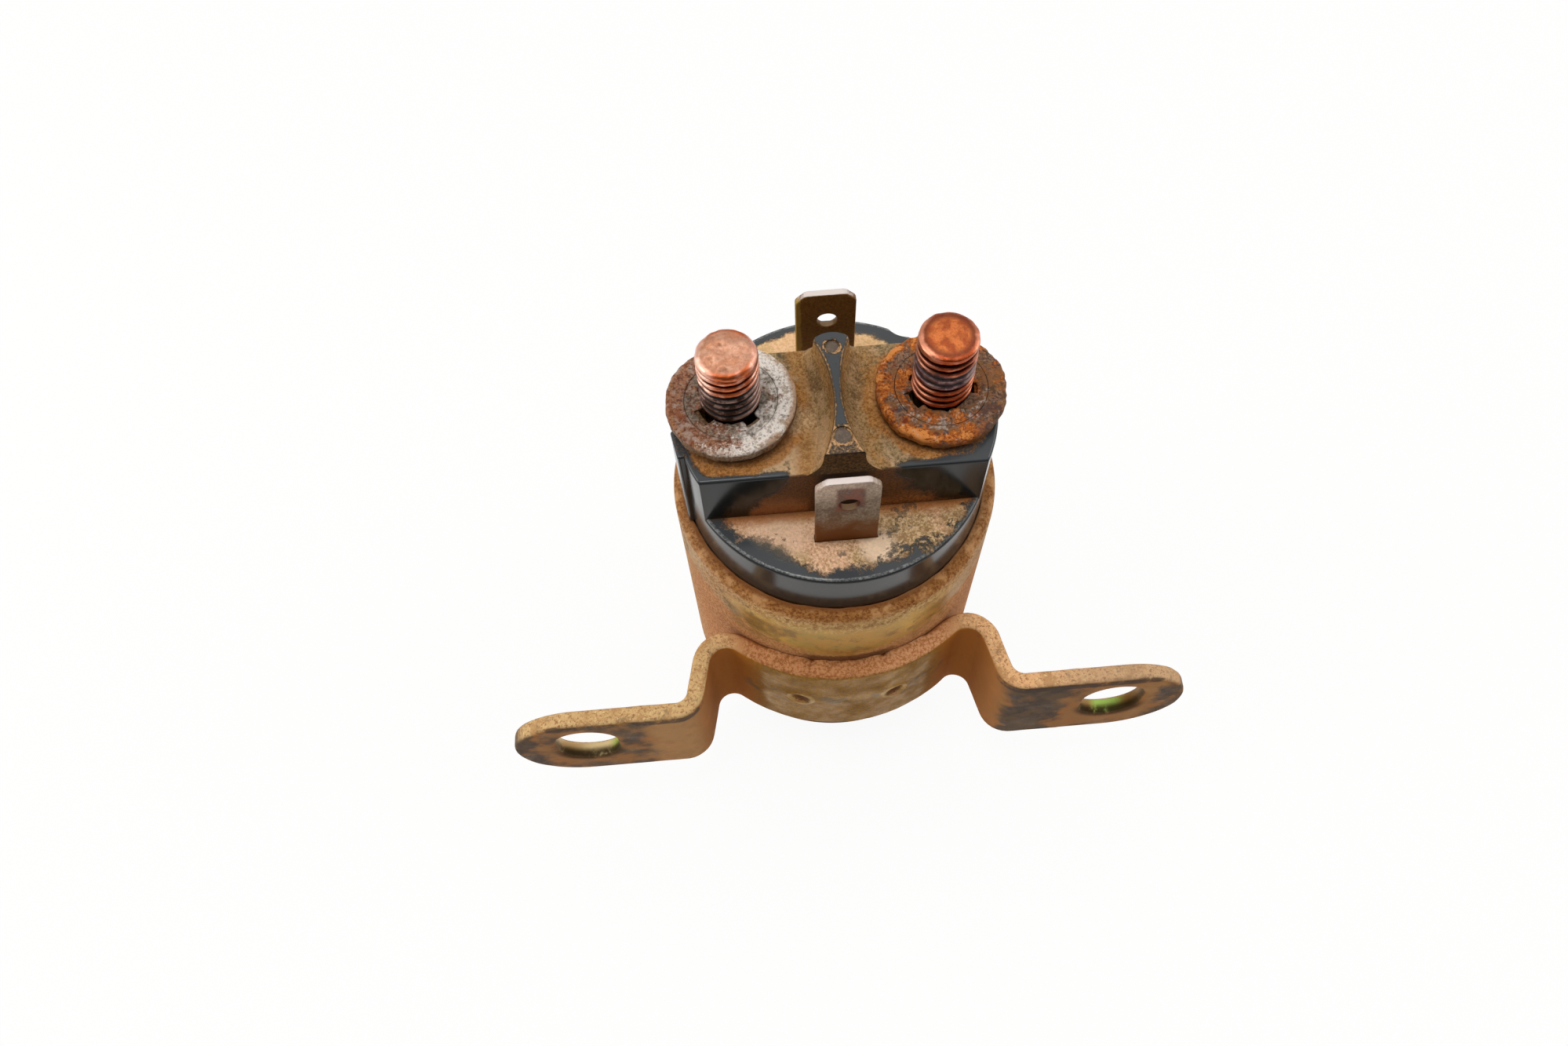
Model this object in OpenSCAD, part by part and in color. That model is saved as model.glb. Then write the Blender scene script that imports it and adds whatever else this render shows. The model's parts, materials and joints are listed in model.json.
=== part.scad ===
// Starter solenoid: a drawn steel can with a welded mounting strap, a black
// moulded terminal cap, two threaded copper studs and two spade blades. Inside
// are a wound bobbin, a plunger on two springs and a copper contact bridge.
// Origin: centre of the can's base. +Z runs up the studs, +X along the strap
// and -Y points to the front, where the strap's ears stand proud of the can.

/* [Can] */
// Outside diameter of the drawn can
can_d = 35.7; // [34.5:0.1:42]
// Sheet thickness of the can wall and of its crimped lip
can_wall = 1.0; // [0.8:0.05:1.2]
// Thickness of the can floor
can_floor = 1.2; // [0.8:0.1:2]
// Height from the base to the top of the crimped lip
can_h = 36.9; // [35:0.1:46]
// Outside rounding between wall and floor
can_base_edge = 1.6; // [1:0.1:2.2]
// Outside rounding of the crimped lip
lip_edge = 0.9; // [0.5:0.05:0.95]
// How far the crimped lip reaches over the cap's flange
lip_catch = 0.5; // [0.4:0.05:0.8]

/* [Mounting strap] */
// Sheet thickness of the strap
strap_t = 2.0; // [1.5:0.1:2.5]
// Height of the strap
strap_w = 16; // [13:0.5:20]
// Lower edge of the strap above the can's base
strap_z = 9.1; // [4:0.1:12]
// Distance between the two bolt slots
slot_pitch = 61.0; // [58:0.1:72]
// Distance from a slot's middle to the ear's end
slot_margin = 8.5; // [7.5:0.1:10]
// Half of the angle that the strap hugs round the can
wrap_angle = 39; // [34:0.5:44]
// Inside radius of the loop beside the can
loop_r = 1.9; // [1.5:0.1:2.4]
// Outward lean of the leg between loop and ear
leg_lean = 12; // [4:1:20]
// Inside radius of the bend into the ear
ear_bend_r = 1.4; // [1:0.1:2]
// Front face of the ears in front of the can's side
ear_stand = 5.05; // [4.5:0.05:8]
// Width of a bolt slot
slot_w = 7.0; // [6:0.1:8]
// Height of a bolt slot
slot_h = 9.0; // [8.2:0.1:10.5]
// Height of the slots above the strap's middle line
slot_rise = 0.9; // [0:0.1:1]
// Radius of a spot weld's dimple
dimple_r = 1.1; // [0.6:0.1:1.5]
// Depth of a spot weld's dimple
dimple_depth = 0.25; // [0.1:0.05:0.4]
// Angle of each spot weld from the strap's middle
dimple_angle = 17; // [10:1:24]

/* [Terminal cap] */
// Height of the cap's two ledges above the can's lip
cap_rise = 6.1; // [5:0.1:9]
// Height of the middle block above the ledges
plateau_h = 7.5; // [6:0.1:10]
// Front wall of the middle block from the axis
plateau_front = 7.9; // [7:0.1:8.6]
// Rear wall of the middle block from the axis
plateau_rear = 7.0; // [6.7:0.1:8.6]
// Rounding of the ledges' outer edge
ledge_edge = 0.5; // [0.2:0.05:0.8]
// Wall of the cap round its chamber
cap_wall = 1.25; // [1:0.05:1.5]
// Thickness of the roof over the chamber
roof_t = 3.0; // [2.5:0.1:4]
// Height of the flange that the can's lip holds
flange_h = 5.1; // [3:0.1:6]
// Height of the barrier between the studs
barrier_h = 3.5; // [2:0.1:5]
// Least width of the barrier
barrier_waist = 0.9; // [0.7:0.1:1.6]
// Radius of the barrier's hollow sides
barrier_side_r = 16; // [14:0.5:22]
// Widening of each side of the barrier towards its foot
barrier_draft = 0.6; // [0:0.1:1]
// Place of the waist behind the axis
barrier_waist_y = -1.0; // [-2:0.1:1]
// Radius of the barrier's rounded rear end
barrier_tail_r = 2.2; // [1.9:0.1:2.8]
// Rear end of the barrier in front of the block's rear wall
barrier_setback = 0.5; // [0:0.1:1]
// Radius of the ejector mark near the barrier's front
front_mark_r = 1.0; // [0.5:0.1:1.1]
// Radius of the ejector mark near the barrier's rear
rear_mark_r = 0.8; // [0.5:0.1:1.1]
// Width of the rib on the cap's left side
rib_w = 3.4; // [2:0.1:5]
// Height that the rib stands proud
rib_rise = 0.55; // [0.2:0.05:0.8]
// Direction of the rib round the cap
rib_angle = 191; // [184:1:196]
// Depth of the shallow notch in the cap's rear edge
notch_depth = 0.55; // [0.2:0.05:0.8]
// Direction of the notch round the cap
notch_angle = 58; // [50:1:66]

/* [Terminal studs] */
// Thread diameter of a stud
stud_d = 6; // [5:0.1:6.4]
// Distance from the cap's edge to a stud's middle
stud_inset = 5.8; // [5.6:0.05:6.5]
// Thread pitch
thread_pitch = 1.0; // [0.8:0.05:1.25]
// Depth of the thread
thread_depth = 0.5; // [0.3:0.05:0.6]
// Height of the left stud above the middle block
left_stud_h = 10.5; // [8:0.05:14]
// Height of the right stud above the middle block
right_stud_h = 10.2; // [8:0.05:14]
// Chamfer round a stud's tip
tip_chamfer = 0.5; // [0.3:0.1:0.8]
// Thickness of a stud's contact head
head_t = 1.6; // [1:0.1:2.4]
// Outside diameter of a flat washer
washer_d = 13; // [12:0.1:14]
// Thickness of a flat washer
washer_t = 1.4; // [1.2:0.1:2]
// Outside diameter of a sealing washer
seal_washer_d = 11.8; // [10:0.1:12]
// Height of the left sealing washer, which is less squeezed
left_seal_t = 1.15; // [0.4:0.05:1.5]
// Height of the right sealing washer
right_seal_t = 0.45; // [0.4:0.05:1.5]
// Outside diameter of a toothed lock ring
lock_ring_d = 9.2; // [8.6:0.1:9.6]
// Sheet thickness of a lock ring
lock_ring_t = 0.4; // [0.3:0.05:0.6]
// Teeth of a lock ring
lock_teeth = 6; // [5:1:8]

/* [Blades and leads] */
// Width of a spade blade
blade_w = 6.35; // [4.8:0.05:6.35]
// Thickness of a spade blade
blade_t = 0.8; // [0.6:0.05:1]
// Distance from the cap's edge to a blade's middle
blade_inset = 5.15; // [4.8:0.05:5.5]
// Height of the front blade above its ledge
front_blade_h = 11.55; // [8:0.05:14]
// Height of the rear blade above its ledge
rear_blade_h = 11.3; // [8:0.05:14]
// Chamfer of a blade's corners
blade_chamfer = 1.1; // [0.6:0.1:1.4]
// Diameter of the hole in a blade
blade_hole_d = 2.1; // [1.5:0.1:2.4]
// Height from the hole's middle to the blade's tip
blade_hole_drop = 4.2; // [3.4:0.1:5]
// Diameter of a coil lead
lead_d = 0.8; // [0.5:0.05:1]
// Outside diameter of a lead's insulating sleeve
sleeve_d = 2.6; // [2.2:0.1:3]

/* [Coil and magnet parts] */
// Thickness of the gasket under the cap
gasket_t = 0.8; // [0.5:0.1:1.2]
// Thickness of the pole plate
plate_t = 2.0; // [1.5:0.1:2.6]
// Thickness of the cushion washer under the bobbin
cushion_t = 0.8; // [0.5:0.1:1.2]
// Thickness of the bobbin's flanges
bobbin_flange_t = 1.2; // [0.8:0.1:1.6]
// Wall of the bobbin's barrel
bobbin_wall = 1.2; // [0.8:0.1:1.6]
// Height of the bobbin's flanges above the winding
winding_margin = 1.15; // [0.3:0.05:3]
// Diameter of the plunger
plunger_d = 9.8; // [9:0.1:11]
// Length of the plunger
plunger_l = 13.5; // [11:0.1:15]
// Wall of the brass guide sleeve
guide_wall = 0.5; // [0.4:0.05:0.7]
// Thickness of the bumper under the plunger
bumper_t = 1.0; // [0.6:0.1:1.6]
// Diameter of the plunger's rod
rod_d = 2.5; // [2:0.1:2.8]
// Depth of the rod's seat in the plunger
rod_seat = 6; // [4:0.1:8]
// Diameter of the neck that holds the core in the pole plate
core_neck_d = 8; // [7:0.1:9]

/* [Contacts and travel] */
// Travel of the contact bridge until it meets the stud heads
contact_travel = 2.4; // [1.6:0.1:2.6]
// Further travel of the plunger that presses the contacts
overtravel = 0.6; // [0.4:0.05:0.8]
// Length of the contact bridge
bridge_l = 20; // [17:0.5:22]
// Width of the contact bridge
bridge_w = 13; // [10:0.5:14]
// Thickness of the contact bridge
bridge_t = 1.2; // [0.8:0.1:1.6]
// Radius of the insulator's neck through the bridge
neck_r = 2.4; // [2:0.1:2.8]
// Radius of the insulator flanges
insulator_r = 3.3; // [3:0.1:3.8]
// Thickness of the lower insulator's flange
lower_insulator_t = 0.9; // [0.6:0.1:1.2]
// Thickness of the upper insulating washer
upper_insulator_t = 0.6; // [0.4:0.1:1]
// Thickness of the retaining clip
clip_t = 0.6; // [0.4:0.1:0.8]
// Thickness of the collar on the rod
collar_t = 0.6; // [0.4:0.1:0.8]
// Height of the rod above its clip
rod_tip = 0.8; // [0.5:0.1:1.2]
// Wire diameter of the return spring
return_wire_d = 0.6; // [0.4:0.05:0.7]
// Turns of the return spring
return_turns = 6; // [4:1:7]
// Depth of the return spring's pocket in the core
spring_pocket = 5.3; // [4:0.1:6.5]
// Wire diameter of the contact spring
contact_wire_d = 0.5; // [0.3:0.05:0.5]
// Turns of the contact spring
contact_turns = 3; // [2:1:3]

/* [Hidden] */
$fn = 96;

// How far a cutter runs past the face it cuts
over = 0.5;
// Clearance of pieces that are fitted and stay still
seat_gap = 0.05;
// Radial clearance of pieces that slide in or on each other
slide_gap = 0.05;
// Free play at the end of a stroke, where faces meet on the real object
stop_gap = 0.05;
// Clearance between the can's inside and what is dropped into it
drop_gap = 0.1;

can_r = can_d / 2;
bore_r = can_r - can_wall;
flange_r = bore_r - drop_gap;
cap_r = flange_r - lip_catch;
lip_r = cap_r + drop_gap;
flange_top = can_h - can_wall;
flange_z = flange_top - flange_h;
plate_z = flange_z - gasket_t - plate_t;
bobbin_z = can_floor + cushion_t;
bobbin_h = plate_z - bobbin_z;

ledge_z = can_h + cap_rise;
plateau_z = ledge_z + plateau_h;
roof_z = ledge_z - roof_t;
chamber_r = cap_r - cap_wall;
mark_depth = 0.15;
front_mark_y = barrier_waist_y - 4.8;
rear_mark_y = barrier_waist_y + 5.6;
barrier_tail_y = plateau_rear - barrier_setback - barrier_tail_r;
barrier_blank = 6;
notch_r = 2.5;
rib_clear = 0.3;

stud_x = cap_r - stud_inset;
stud_r = stud_d / 2;
shank_r = stud_r - 0.3;
stud_bore_r = shank_r + seat_gap;
root_r = stud_r - thread_depth;
crest_w = thread_pitch / 4;
flank_h = 0.3 * thread_pitch;
head_gap = 0.25;
head_r = chamber_r - head_gap - stud_x;
head_z = roof_z - head_t;
stud_seal_t = 1.0;
stud_seal_r = stud_r + 0.85;
washer_bore_r = stud_r + 0.3;
recess_r = lock_ring_d / 2 + seat_gap;
recess_depth = lock_ring_t + seat_gap;
tooth_gap = 1.5;
tooth_depth = 0.9;
thread_start = 0.1;

blade_y = cap_r - blade_inset;
blade_foot_w = blade_w + 1.6;
blade_foot_h = 1.2;
blade_end = 1.8;
lead_y = blade_y + (blade_t + lead_d) / 2 + seat_gap;

plunger_r = plunger_d / 2;
guide_r = plunger_r + slide_gap;
guide_out_r = guide_r + guide_wall;
barrel_in_r = guide_out_r + seat_gap;
barrel_out_r = barrel_in_r + bobbin_wall;
bobbin_r = bore_r - 4 * drop_gap;
winding_r = bobbin_r - winding_margin;
cushion_in_r = guide_out_r + 4 * seat_gap;
rod_r = rod_d / 2;
stroke = contact_travel + overtravel;
plunger_z = can_floor + bumper_t;
plunger_top = plunger_z + plunger_l;
core_z = plunger_top + stroke + stop_gap;
pocket_top = core_z + spring_pocket;
core_bore_r = rod_r + 4 * slide_gap;
return_mean_r = rod_r + return_wire_d / 2 + 0.9;
pocket_r = return_mean_r + return_wire_d / 2 + 0.4;

bridge_top = head_z - contact_travel - stop_gap;
bridge_z = bridge_top - bridge_t;
bridge_hole_r = neck_r + seat_gap;
insulator_z = bridge_z - lower_insulator_t;
clip_z = bridge_top + upper_insulator_t;
rod_top = clip_z + clip_t + rod_tip;
rod_z = plunger_top - rod_seat;
well_r = insulator_r + 0.7;
well_top = rod_top + stroke + 0.5;
collar_clear = 0.4;
collar_z = plate_z + plate_t + collar_clear;
collar_r = rod_r + 1.6;
groove_r = rod_r - 0.25;
clip_r = rod_r + 1.3;
contact_mean_r = rod_r + contact_wire_d / 2 + 0.5;

strap_l = slot_pitch + 2 * slot_margin;
ear_front = can_r + ear_stand;
wrap_r = can_r + seat_gap;
loop_at = wrap_r + strap_t + loop_r;
loop_x = loop_at * sin(wrap_angle);
loop_y = -loop_at * cos(wrap_angle);
leg_offset = loop_r + strap_t + ear_bend_r;
leg_l = (loop_y + leg_offset * sin(leg_lean) + ear_front - ear_bend_r - strap_t)
    / cos(leg_lean);
bend_x = loop_x + leg_offset * cos(leg_lean) + leg_l * sin(leg_lean);
bend_y = -ear_front + strap_t + ear_bend_r;
wrap_steps = 24;
loop_steps = 12;
bend_steps = 8;
ear_end_r = strap_w / 2;
strap_mid_z = strap_z + strap_w / 2;
dimple_ball_r = (dimple_r * dimple_r + dimple_depth * dimple_depth) / (2 * dimple_depth);

spring_rings = 10;
spring_sides = 6;

module tube(outer_r, inner_r, height, z) {
    translate([0, 0, z]) difference() {
        cylinder(r = outer_r, h = height);
        translate([0, 0, -over]) cylinder(r = inner_r, h = height + 2 * over);
    }
}

// Half section of a round body whose two outer corners are rounded
module rounded_half_section(r, h, low, high) {
    square([r - low, h / 2]);
    translate([0, h / 2]) square([r - high, h / 2]);
    translate([0, low]) square([r, h - low - high]);
    translate([r - low, low]) circle(r = low);
    translate([r - high, h - high]) circle(r = high);
}

module can() {
    color("#c2935a") rotate_extrude() difference() {
        rounded_half_section(can_r, can_h, can_base_edge, lip_edge);
        translate([0, can_floor]) square([bore_r, flange_top - can_floor]);
        translate([0, can_floor]) square([lip_r, can_h]);
    }
}

function arc_points(centre, r, from, to, steps, skip = 0) =
    [for (step = [skip : steps - skip]) let (angle = from + (to - from) * step / steps)
        centre + [r * cos(angle), r * sin(angle)]];

function backwards(points) = [for (i = [len(points) - 1 : -1 : 0]) points[i]];

function mirrored(points) = [for (point = backwards(points)) [-point[0], point[1]]];

// One face of the bent strap seen from above, from its left end to its right
// end. The loop bends the other way from the can and the ear.
function strap_face(arc_r, inside_r, outside_r, ear_y) =
    let (right = concat(
        arc_points([loop_x, loop_y], inside_r, 90 + wrap_angle, leg_lean, loop_steps),
        arc_points([bend_x, bend_y], outside_r, 180 + leg_lean, 270, bend_steps),
        [[strap_l / 2, ear_y]]))
    concat(mirrored(right),
        arc_points([0, 0], arc_r, 270 - wrap_angle, 270 + wrap_angle, wrap_steps, 1), right);

module strap_plan() {
    front = strap_face(wrap_r + strap_t, loop_r, ear_bend_r + strap_t, -ear_front);
    back = strap_face(wrap_r, loop_r + strap_t, ear_bend_r, -ear_front + strap_t);
    polygon(concat(front, backwards(back)));
}

// Front view of the strap: ears with full round ends
module strap_front() {
    straight = strap_l - 2 * ear_end_r;
    translate([-straight / 2, -ear_end_r]) square([straight, strap_w]);
    for (side = [-1, 1]) translate([side * straight / 2, 0]) circle(r = ear_end_r);
}

module bolt_slot() {
    half_run = (slot_h - slot_w) / 2;
    translate([-slot_w / 2, -half_run]) square([slot_w, 2 * half_run]);
    for (end = [-1, 1]) translate([0, end * half_run]) circle(d = slot_w);
}

module mounting_strap() {
    depth = ear_front + can_r;
    color("#b5854e") difference() {
        intersection() {
            translate([0, 0, strap_z]) linear_extrude(strap_w) strap_plan();
            translate([0, 0, strap_mid_z]) rotate([90, 0, 0])
                linear_extrude(depth) strap_front();
        }
        for (side = [-1, 1]) {
            translate([side * slot_pitch / 2, -ear_front + strap_t + over, strap_mid_z + slot_rise])
                rotate([90, 0, 0]) linear_extrude(strap_t + 2 * over) bolt_slot();
            rotate(side * dimple_angle)
                translate([0, -(wrap_r + strap_t + dimple_ball_r - dimple_depth), strap_mid_z])
                    sphere(r = dimple_ball_r);
        }
    }
}

module cap_body() {
    rotate_extrude() {
        translate([0, flange_z]) square([flange_r, flange_h]);
        translate([0, flange_top]) square([cap_r, ledge_z - flange_top - ledge_edge]);
        translate([0, flange_top]) square([cap_r - ledge_edge, ledge_z - flange_top]);
        translate([cap_r - ledge_edge, ledge_z - ledge_edge]) circle(r = ledge_edge);
    }
    intersection() {
        translate([0, 0, flange_top]) cylinder(r = cap_r, h = plateau_z - flange_top);
        translate([-can_r, -plateau_front, flange_top])
            cube([can_d, plateau_front + plateau_rear, plateau_z - flange_top]);
    }
}

// Barrier between the studs: hollow, drafted sides and a rounded rear end
module barrier() {
    slope = barrier_draft / barrier_h;
    difference() {
        translate([0, 0, plateau_z - over]) linear_extrude(barrier_h + over) {
            translate([-barrier_blank / 2, -plateau_front]) square([barrier_blank, plateau_front]);
            translate([-barrier_tail_r, -over]) square([2 * barrier_tail_r, barrier_tail_y + over]);
            translate([0, barrier_tail_y]) circle(r = barrier_tail_r);
        }
        for (side = [-1, 1])
            translate([side * (barrier_waist / 2 + barrier_side_r), barrier_waist_y, plateau_z])
                cylinder(r1 = barrier_side_r - barrier_draft,
                    r2 = barrier_side_r + slope * over, h = barrier_h + over);
        for (mark = [[front_mark_y, front_mark_r], [rear_mark_y, rear_mark_r]])
            translate([0, mark[0], plateau_z + barrier_h - mark_depth])
                cylinder(r = mark[1], h = mark_depth + over);
    }
}

module locating_rib() {
    rib_z = can_h + rib_clear;
    intersection() {
        translate([0, 0, rib_z]) cylinder(r = cap_r + rib_rise, h = plateau_z - rib_z);
        rotate(rib_angle) translate([cap_r / 2, -rib_w / 2, rib_z])
            cube([cap_r, rib_w, plateau_z - rib_z]);
    }
}

module terminal_cap() {
    color("#202226") difference() {
        union() {
            cap_body();
            barrier();
            locating_rib();
        }
        translate([0, 0, flange_z - over]) cylinder(r = chamber_r, h = roof_z - flange_z + over);
        translate([0, 0, roof_z - over]) cylinder(r = well_r, h = well_top - roof_z + over);
        for (side = [-1, 1]) {
            translate([side * stud_x, 0, roof_z - over])
                cylinder(r = stud_bore_r, h = plateau_z - roof_z + 2 * over);
            translate([side * stud_x, 0, roof_z - over])
                cylinder(r = stud_seal_r, h = stud_seal_t + over);
            translate([-blade_w / 2 - seat_gap, side * blade_y - blade_t / 2 - seat_gap, roof_z - over])
                cube([blade_w + 2 * seat_gap, blade_t + 2 * seat_gap, plateau_z - roof_z + 2 * over]);
        }
        rotate(notch_angle) translate([cap_r + notch_r - notch_depth, 0, can_h + rib_clear])
            cylinder(r = notch_r, h = cap_rise + over);
    }
}

// Half section of one thread turn: crest, flank, root and flank
function thread_turn(z) = [[stud_r, z], [stud_r, z + crest_w],
    [root_r, z + crest_w + flank_h], [root_r, z + thread_pitch - flank_h]];

// Stud with a flat contact head. The thread is counted down from its tip.
module stud(x, top_z, neck_top) {
    last_z = top_z - tip_chamfer - crest_w;
    turns = floor((last_z - neck_top) / thread_pitch + 0.01);
    first_z = last_z - turns * thread_pitch;
    color("#b8694a") translate([x, 0, 0]) rotate_extrude() polygon(concat(
        [[0, head_z], [head_r, head_z], [head_r, roof_z], [shank_r, roof_z], [shank_r, first_z]],
        [for (turn = [0 : turns - 1], point = thread_turn(first_z + turn * thread_pitch)) point],
        [[stud_r, last_z], [stud_r, top_z - tip_chamfer], [stud_r - tip_chamfer, top_z], [0, top_z]]));
}

module left_stud() {
    stud(-stud_x, plateau_z + left_stud_h, plateau_z + left_seal_t + washer_t + thread_start);
}

module right_stud() {
    stud(stud_x, plateau_z + right_stud_h, plateau_z + right_seal_t + washer_t + thread_start);
}

module stud_seal(side) {
    color("#1a1a1a") translate([side * stud_x, 0, 0])
        tube(stud_seal_r - seat_gap, shank_r + seat_gap, stud_seal_t, roof_z);
}

module sealing_washer(side, height) {
    color("#4a3b2c") translate([side * stud_x, 0, 0])
        tube(seal_washer_d / 2, washer_bore_r, height, plateau_z);
}

// Flat washer with a shallow recess that the lock ring sits in
module flat_washer(side, seat, tint) {
    color(tint) translate([side * stud_x, 0, 0]) difference() {
        tube(washer_d / 2, washer_bore_r, washer_t, seat);
        translate([0, 0, seat + washer_t - recess_depth]) cylinder(r = recess_r, h = recess_depth + over);
    }
}

module lock_ring(side, seat, tint) {
    ring_z = seat + washer_t - recess_depth;
    grip_r = shank_r + seat_gap;
    color(tint) translate([side * stud_x, 0, 0]) difference() {
        tube(lock_ring_d / 2, grip_r, lock_ring_t, ring_z);
        for (tooth = [0 : lock_teeth - 1]) rotate((tooth + 0.5) * 360 / lock_teeth)
            translate([0, -tooth_gap / 2, ring_z - over])
                cube([grip_r + tooth_depth, tooth_gap, lock_ring_t + 2 * over]);
    }
}

// Spade blade with a foot that bears under the cap's roof
module blade(side, tip_z) {
    half = blade_w / 2;
    low = roof_z - blade_end;
    color("#9c8f80") translate([0, side * blade_y + blade_t / 2, 0]) rotate([90, 0, 0])
        linear_extrude(blade_t) difference() {
            union() {
                polygon([[-half, low], [half, low], [half, tip_z - blade_chamfer],
                    [half - blade_chamfer, tip_z], [blade_chamfer - half, tip_z],
                    [-half, tip_z - blade_chamfer]]);
                translate([-blade_foot_w / 2, roof_z - blade_foot_h])
                    square([blade_foot_w, blade_foot_h]);
            }
            translate([0, tip_z - blade_hole_drop]) circle(d = blade_hole_d);
        }
}

module lead(side) {
    low = bobbin_z + bobbin_h - bobbin_flange_t;
    color("#a35a2a") translate([0, side * lead_y, low])
        cylinder(d = lead_d, h = roof_z - seat_gap - low);
}

module lead_sleeve(side) {
    color("#d8d2b8") translate([0, side * lead_y, 0])
        tube(sleeve_d / 2, lead_d / 2 + seat_gap, plate_t, plate_z);
}

module cap_gasket() {
    color("#2a2a28") tube(flange_r, chamber_r, gasket_t, flange_z - gasket_t);
}

module pole_plate() {
    color("#8f9499") translate([0, 0, plate_z]) difference() {
        cylinder(r = flange_r, h = plate_t);
        translate([0, 0, -over]) cylinder(r = core_neck_d / 2 + seat_gap, h = plate_t + 2 * over);
        for (side = [-1, 1]) translate([0, side * lead_y, -over])
            cylinder(d = sleeve_d + 2 * seat_gap, h = plate_t + 2 * over);
    }
}

module fixed_core() {
    color("#9aa0a5") difference() {
        union() {
            translate([0, 0, core_z]) cylinder(r = plunger_r, h = plate_z - core_z);
            translate([0, 0, plate_z - over]) cylinder(d = core_neck_d, h = plate_t + over);
        }
        translate([0, 0, core_z - over]) cylinder(r = core_bore_r, h = plate_z + plate_t - core_z + 2 * over);
        translate([0, 0, core_z - over]) cylinder(r = pocket_r, h = spring_pocket + over);
    }
}

module bobbin() {
    top = bobbin_h - bobbin_flange_t;
    color("#e8e0c8") translate([0, 0, bobbin_z]) difference() {
        union() {
            cylinder(r = barrel_out_r, h = bobbin_h);
            cylinder(r = bobbin_r, h = bobbin_flange_t);
            translate([0, 0, top]) cylinder(r = bobbin_r, h = bobbin_flange_t);
        }
        translate([0, 0, -over]) cylinder(r = barrel_in_r, h = bobbin_h + 2 * over);
        for (side = [-1, 1]) translate([0, side * lead_y, top - over])
            cylinder(r = lead_d, h = bobbin_flange_t + 2 * over);
    }
}

module coil_winding() {
    color("#b5622b") tube(winding_r, barrel_out_r + seat_gap,
        bobbin_h - 2 * bobbin_flange_t - 2 * seat_gap, bobbin_z + bobbin_flange_t + seat_gap);
}

module cushion_washer() {
    color("#5b4a3a") tube(bobbin_r, cushion_in_r, cushion_t, can_floor);
}

module guide_sleeve() {
    color("#c8a24a") tube(guide_out_r, guide_r, plate_z - seat_gap - can_floor, can_floor);
}

module plunger_bumper() {
    color("#2b2b2b") translate([0, 0, can_floor]) cylinder(r = plunger_r - 4 * seat_gap, h = bumper_t);
}

module plunger() {
    color("#a7abae") difference() {
        translate([0, 0, plunger_z]) cylinder(r = plunger_r, h = plunger_l);
        translate([0, 0, rod_z]) cylinder(r = rod_r + seat_gap, h = rod_seat + over);
    }
}

module plunger_rod() {
    color("#c9b27c") {
        translate([0, 0, rod_z]) cylinder(r = rod_r, h = clip_z - rod_z);
        translate([0, 0, clip_z - over]) cylinder(r = groove_r, h = clip_t + 2 * over);
        translate([0, 0, clip_z + clip_t]) cylinder(r = rod_r, h = rod_tip);
    }
}

module rod_collar() {
    color("#8b8f92") tube(collar_r, rod_r + seat_gap, collar_t, collar_z);
}

module retaining_clip() {
    color("#6d7073") difference() {
        tube(clip_r, groove_r + seat_gap, clip_t - seat_gap, clip_z);
        translate([0, -groove_r, clip_z - over]) cube([clip_r + over, 2 * groove_r, clip_t + 2 * over]);
    }
}

// Height of a spring's wire at a given turn. The end turns lie almost closed.
function coil_rise(turn, turns, wire_d, rise) =
    let (closed = 1.15 * wire_d, open_rise = (rise - 2 * closed) / (turns - 2))
    turn < 1 ? turn * closed
        : turn > turns - 1 ? rise - (turns - turn) * closed
        : closed + (turn - 1) * open_rise;

function coil_point(angle, mean_r, wire_r, z, round) = [
    (mean_r + wire_r * cos(round)) * cos(angle),
    (mean_r + wire_r * cos(round)) * sin(angle),
    z + wire_r * sin(round)];

// Compression spring as one unbroken wire
module spring(mean_r, wire_d, low, high, turns) {
    steps = turns * spring_rings;
    wire_r = wire_d / 2;
    rise = high - low - wire_d - 2 * seat_gap;
    start = low + wire_r + seat_gap;
    points = [for (step = [0 : steps], side = [0 : spring_sides - 1])
        coil_point(360 * step / spring_rings, mean_r, wire_r,
            start + coil_rise(step / spring_rings, turns, wire_d, rise), 360 * side / spring_sides)];
    walls = [for (step = [0 : steps - 1], side = [0 : spring_sides - 1])
        let (a = step * spring_sides + side,
            b = step * spring_sides + (side + 1) % spring_sides)
        each [[a, a + spring_sides, b], [b, a + spring_sides, b + spring_sides]]];
    first_end = [for (side = [0 : spring_sides - 1]) side];
    last_end = [for (side = [spring_sides - 1 : -1 : 0]) steps * spring_sides + side];
    polyhedron(points = points, faces = concat([first_end], walls, [last_end]));
}

module return_spring() {
    color("#b9bcc0") spring(return_mean_r, return_wire_d, plunger_top, pocket_top, return_turns);
}

module contact_spring() {
    color("#b9bcc0") spring(contact_mean_r, contact_wire_d, collar_z + collar_t, insulator_z, contact_turns);
}

module lower_insulator() {
    color("#33302b") {
        tube(insulator_r, rod_r + slide_gap, lower_insulator_t, insulator_z);
        tube(neck_r, rod_r + slide_gap, bridge_t + lower_insulator_t, insulator_z);
    }
}

module upper_insulator() {
    color("#33302b") tube(insulator_r, rod_r + slide_gap, upper_insulator_t, bridge_top);
}

module contact_bridge() {
    color("#b8733f") translate([0, 0, bridge_z]) difference() {
        intersection() {
            cylinder(d = bridge_l, h = bridge_t);
            translate([-bridge_l / 2, -bridge_w / 2, 0]) cube([bridge_l, bridge_w, bridge_t]);
        }
        translate([0, 0, -over]) cylinder(r = bridge_hole_r, h = bridge_t + 2 * over);
    }
}

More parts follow.
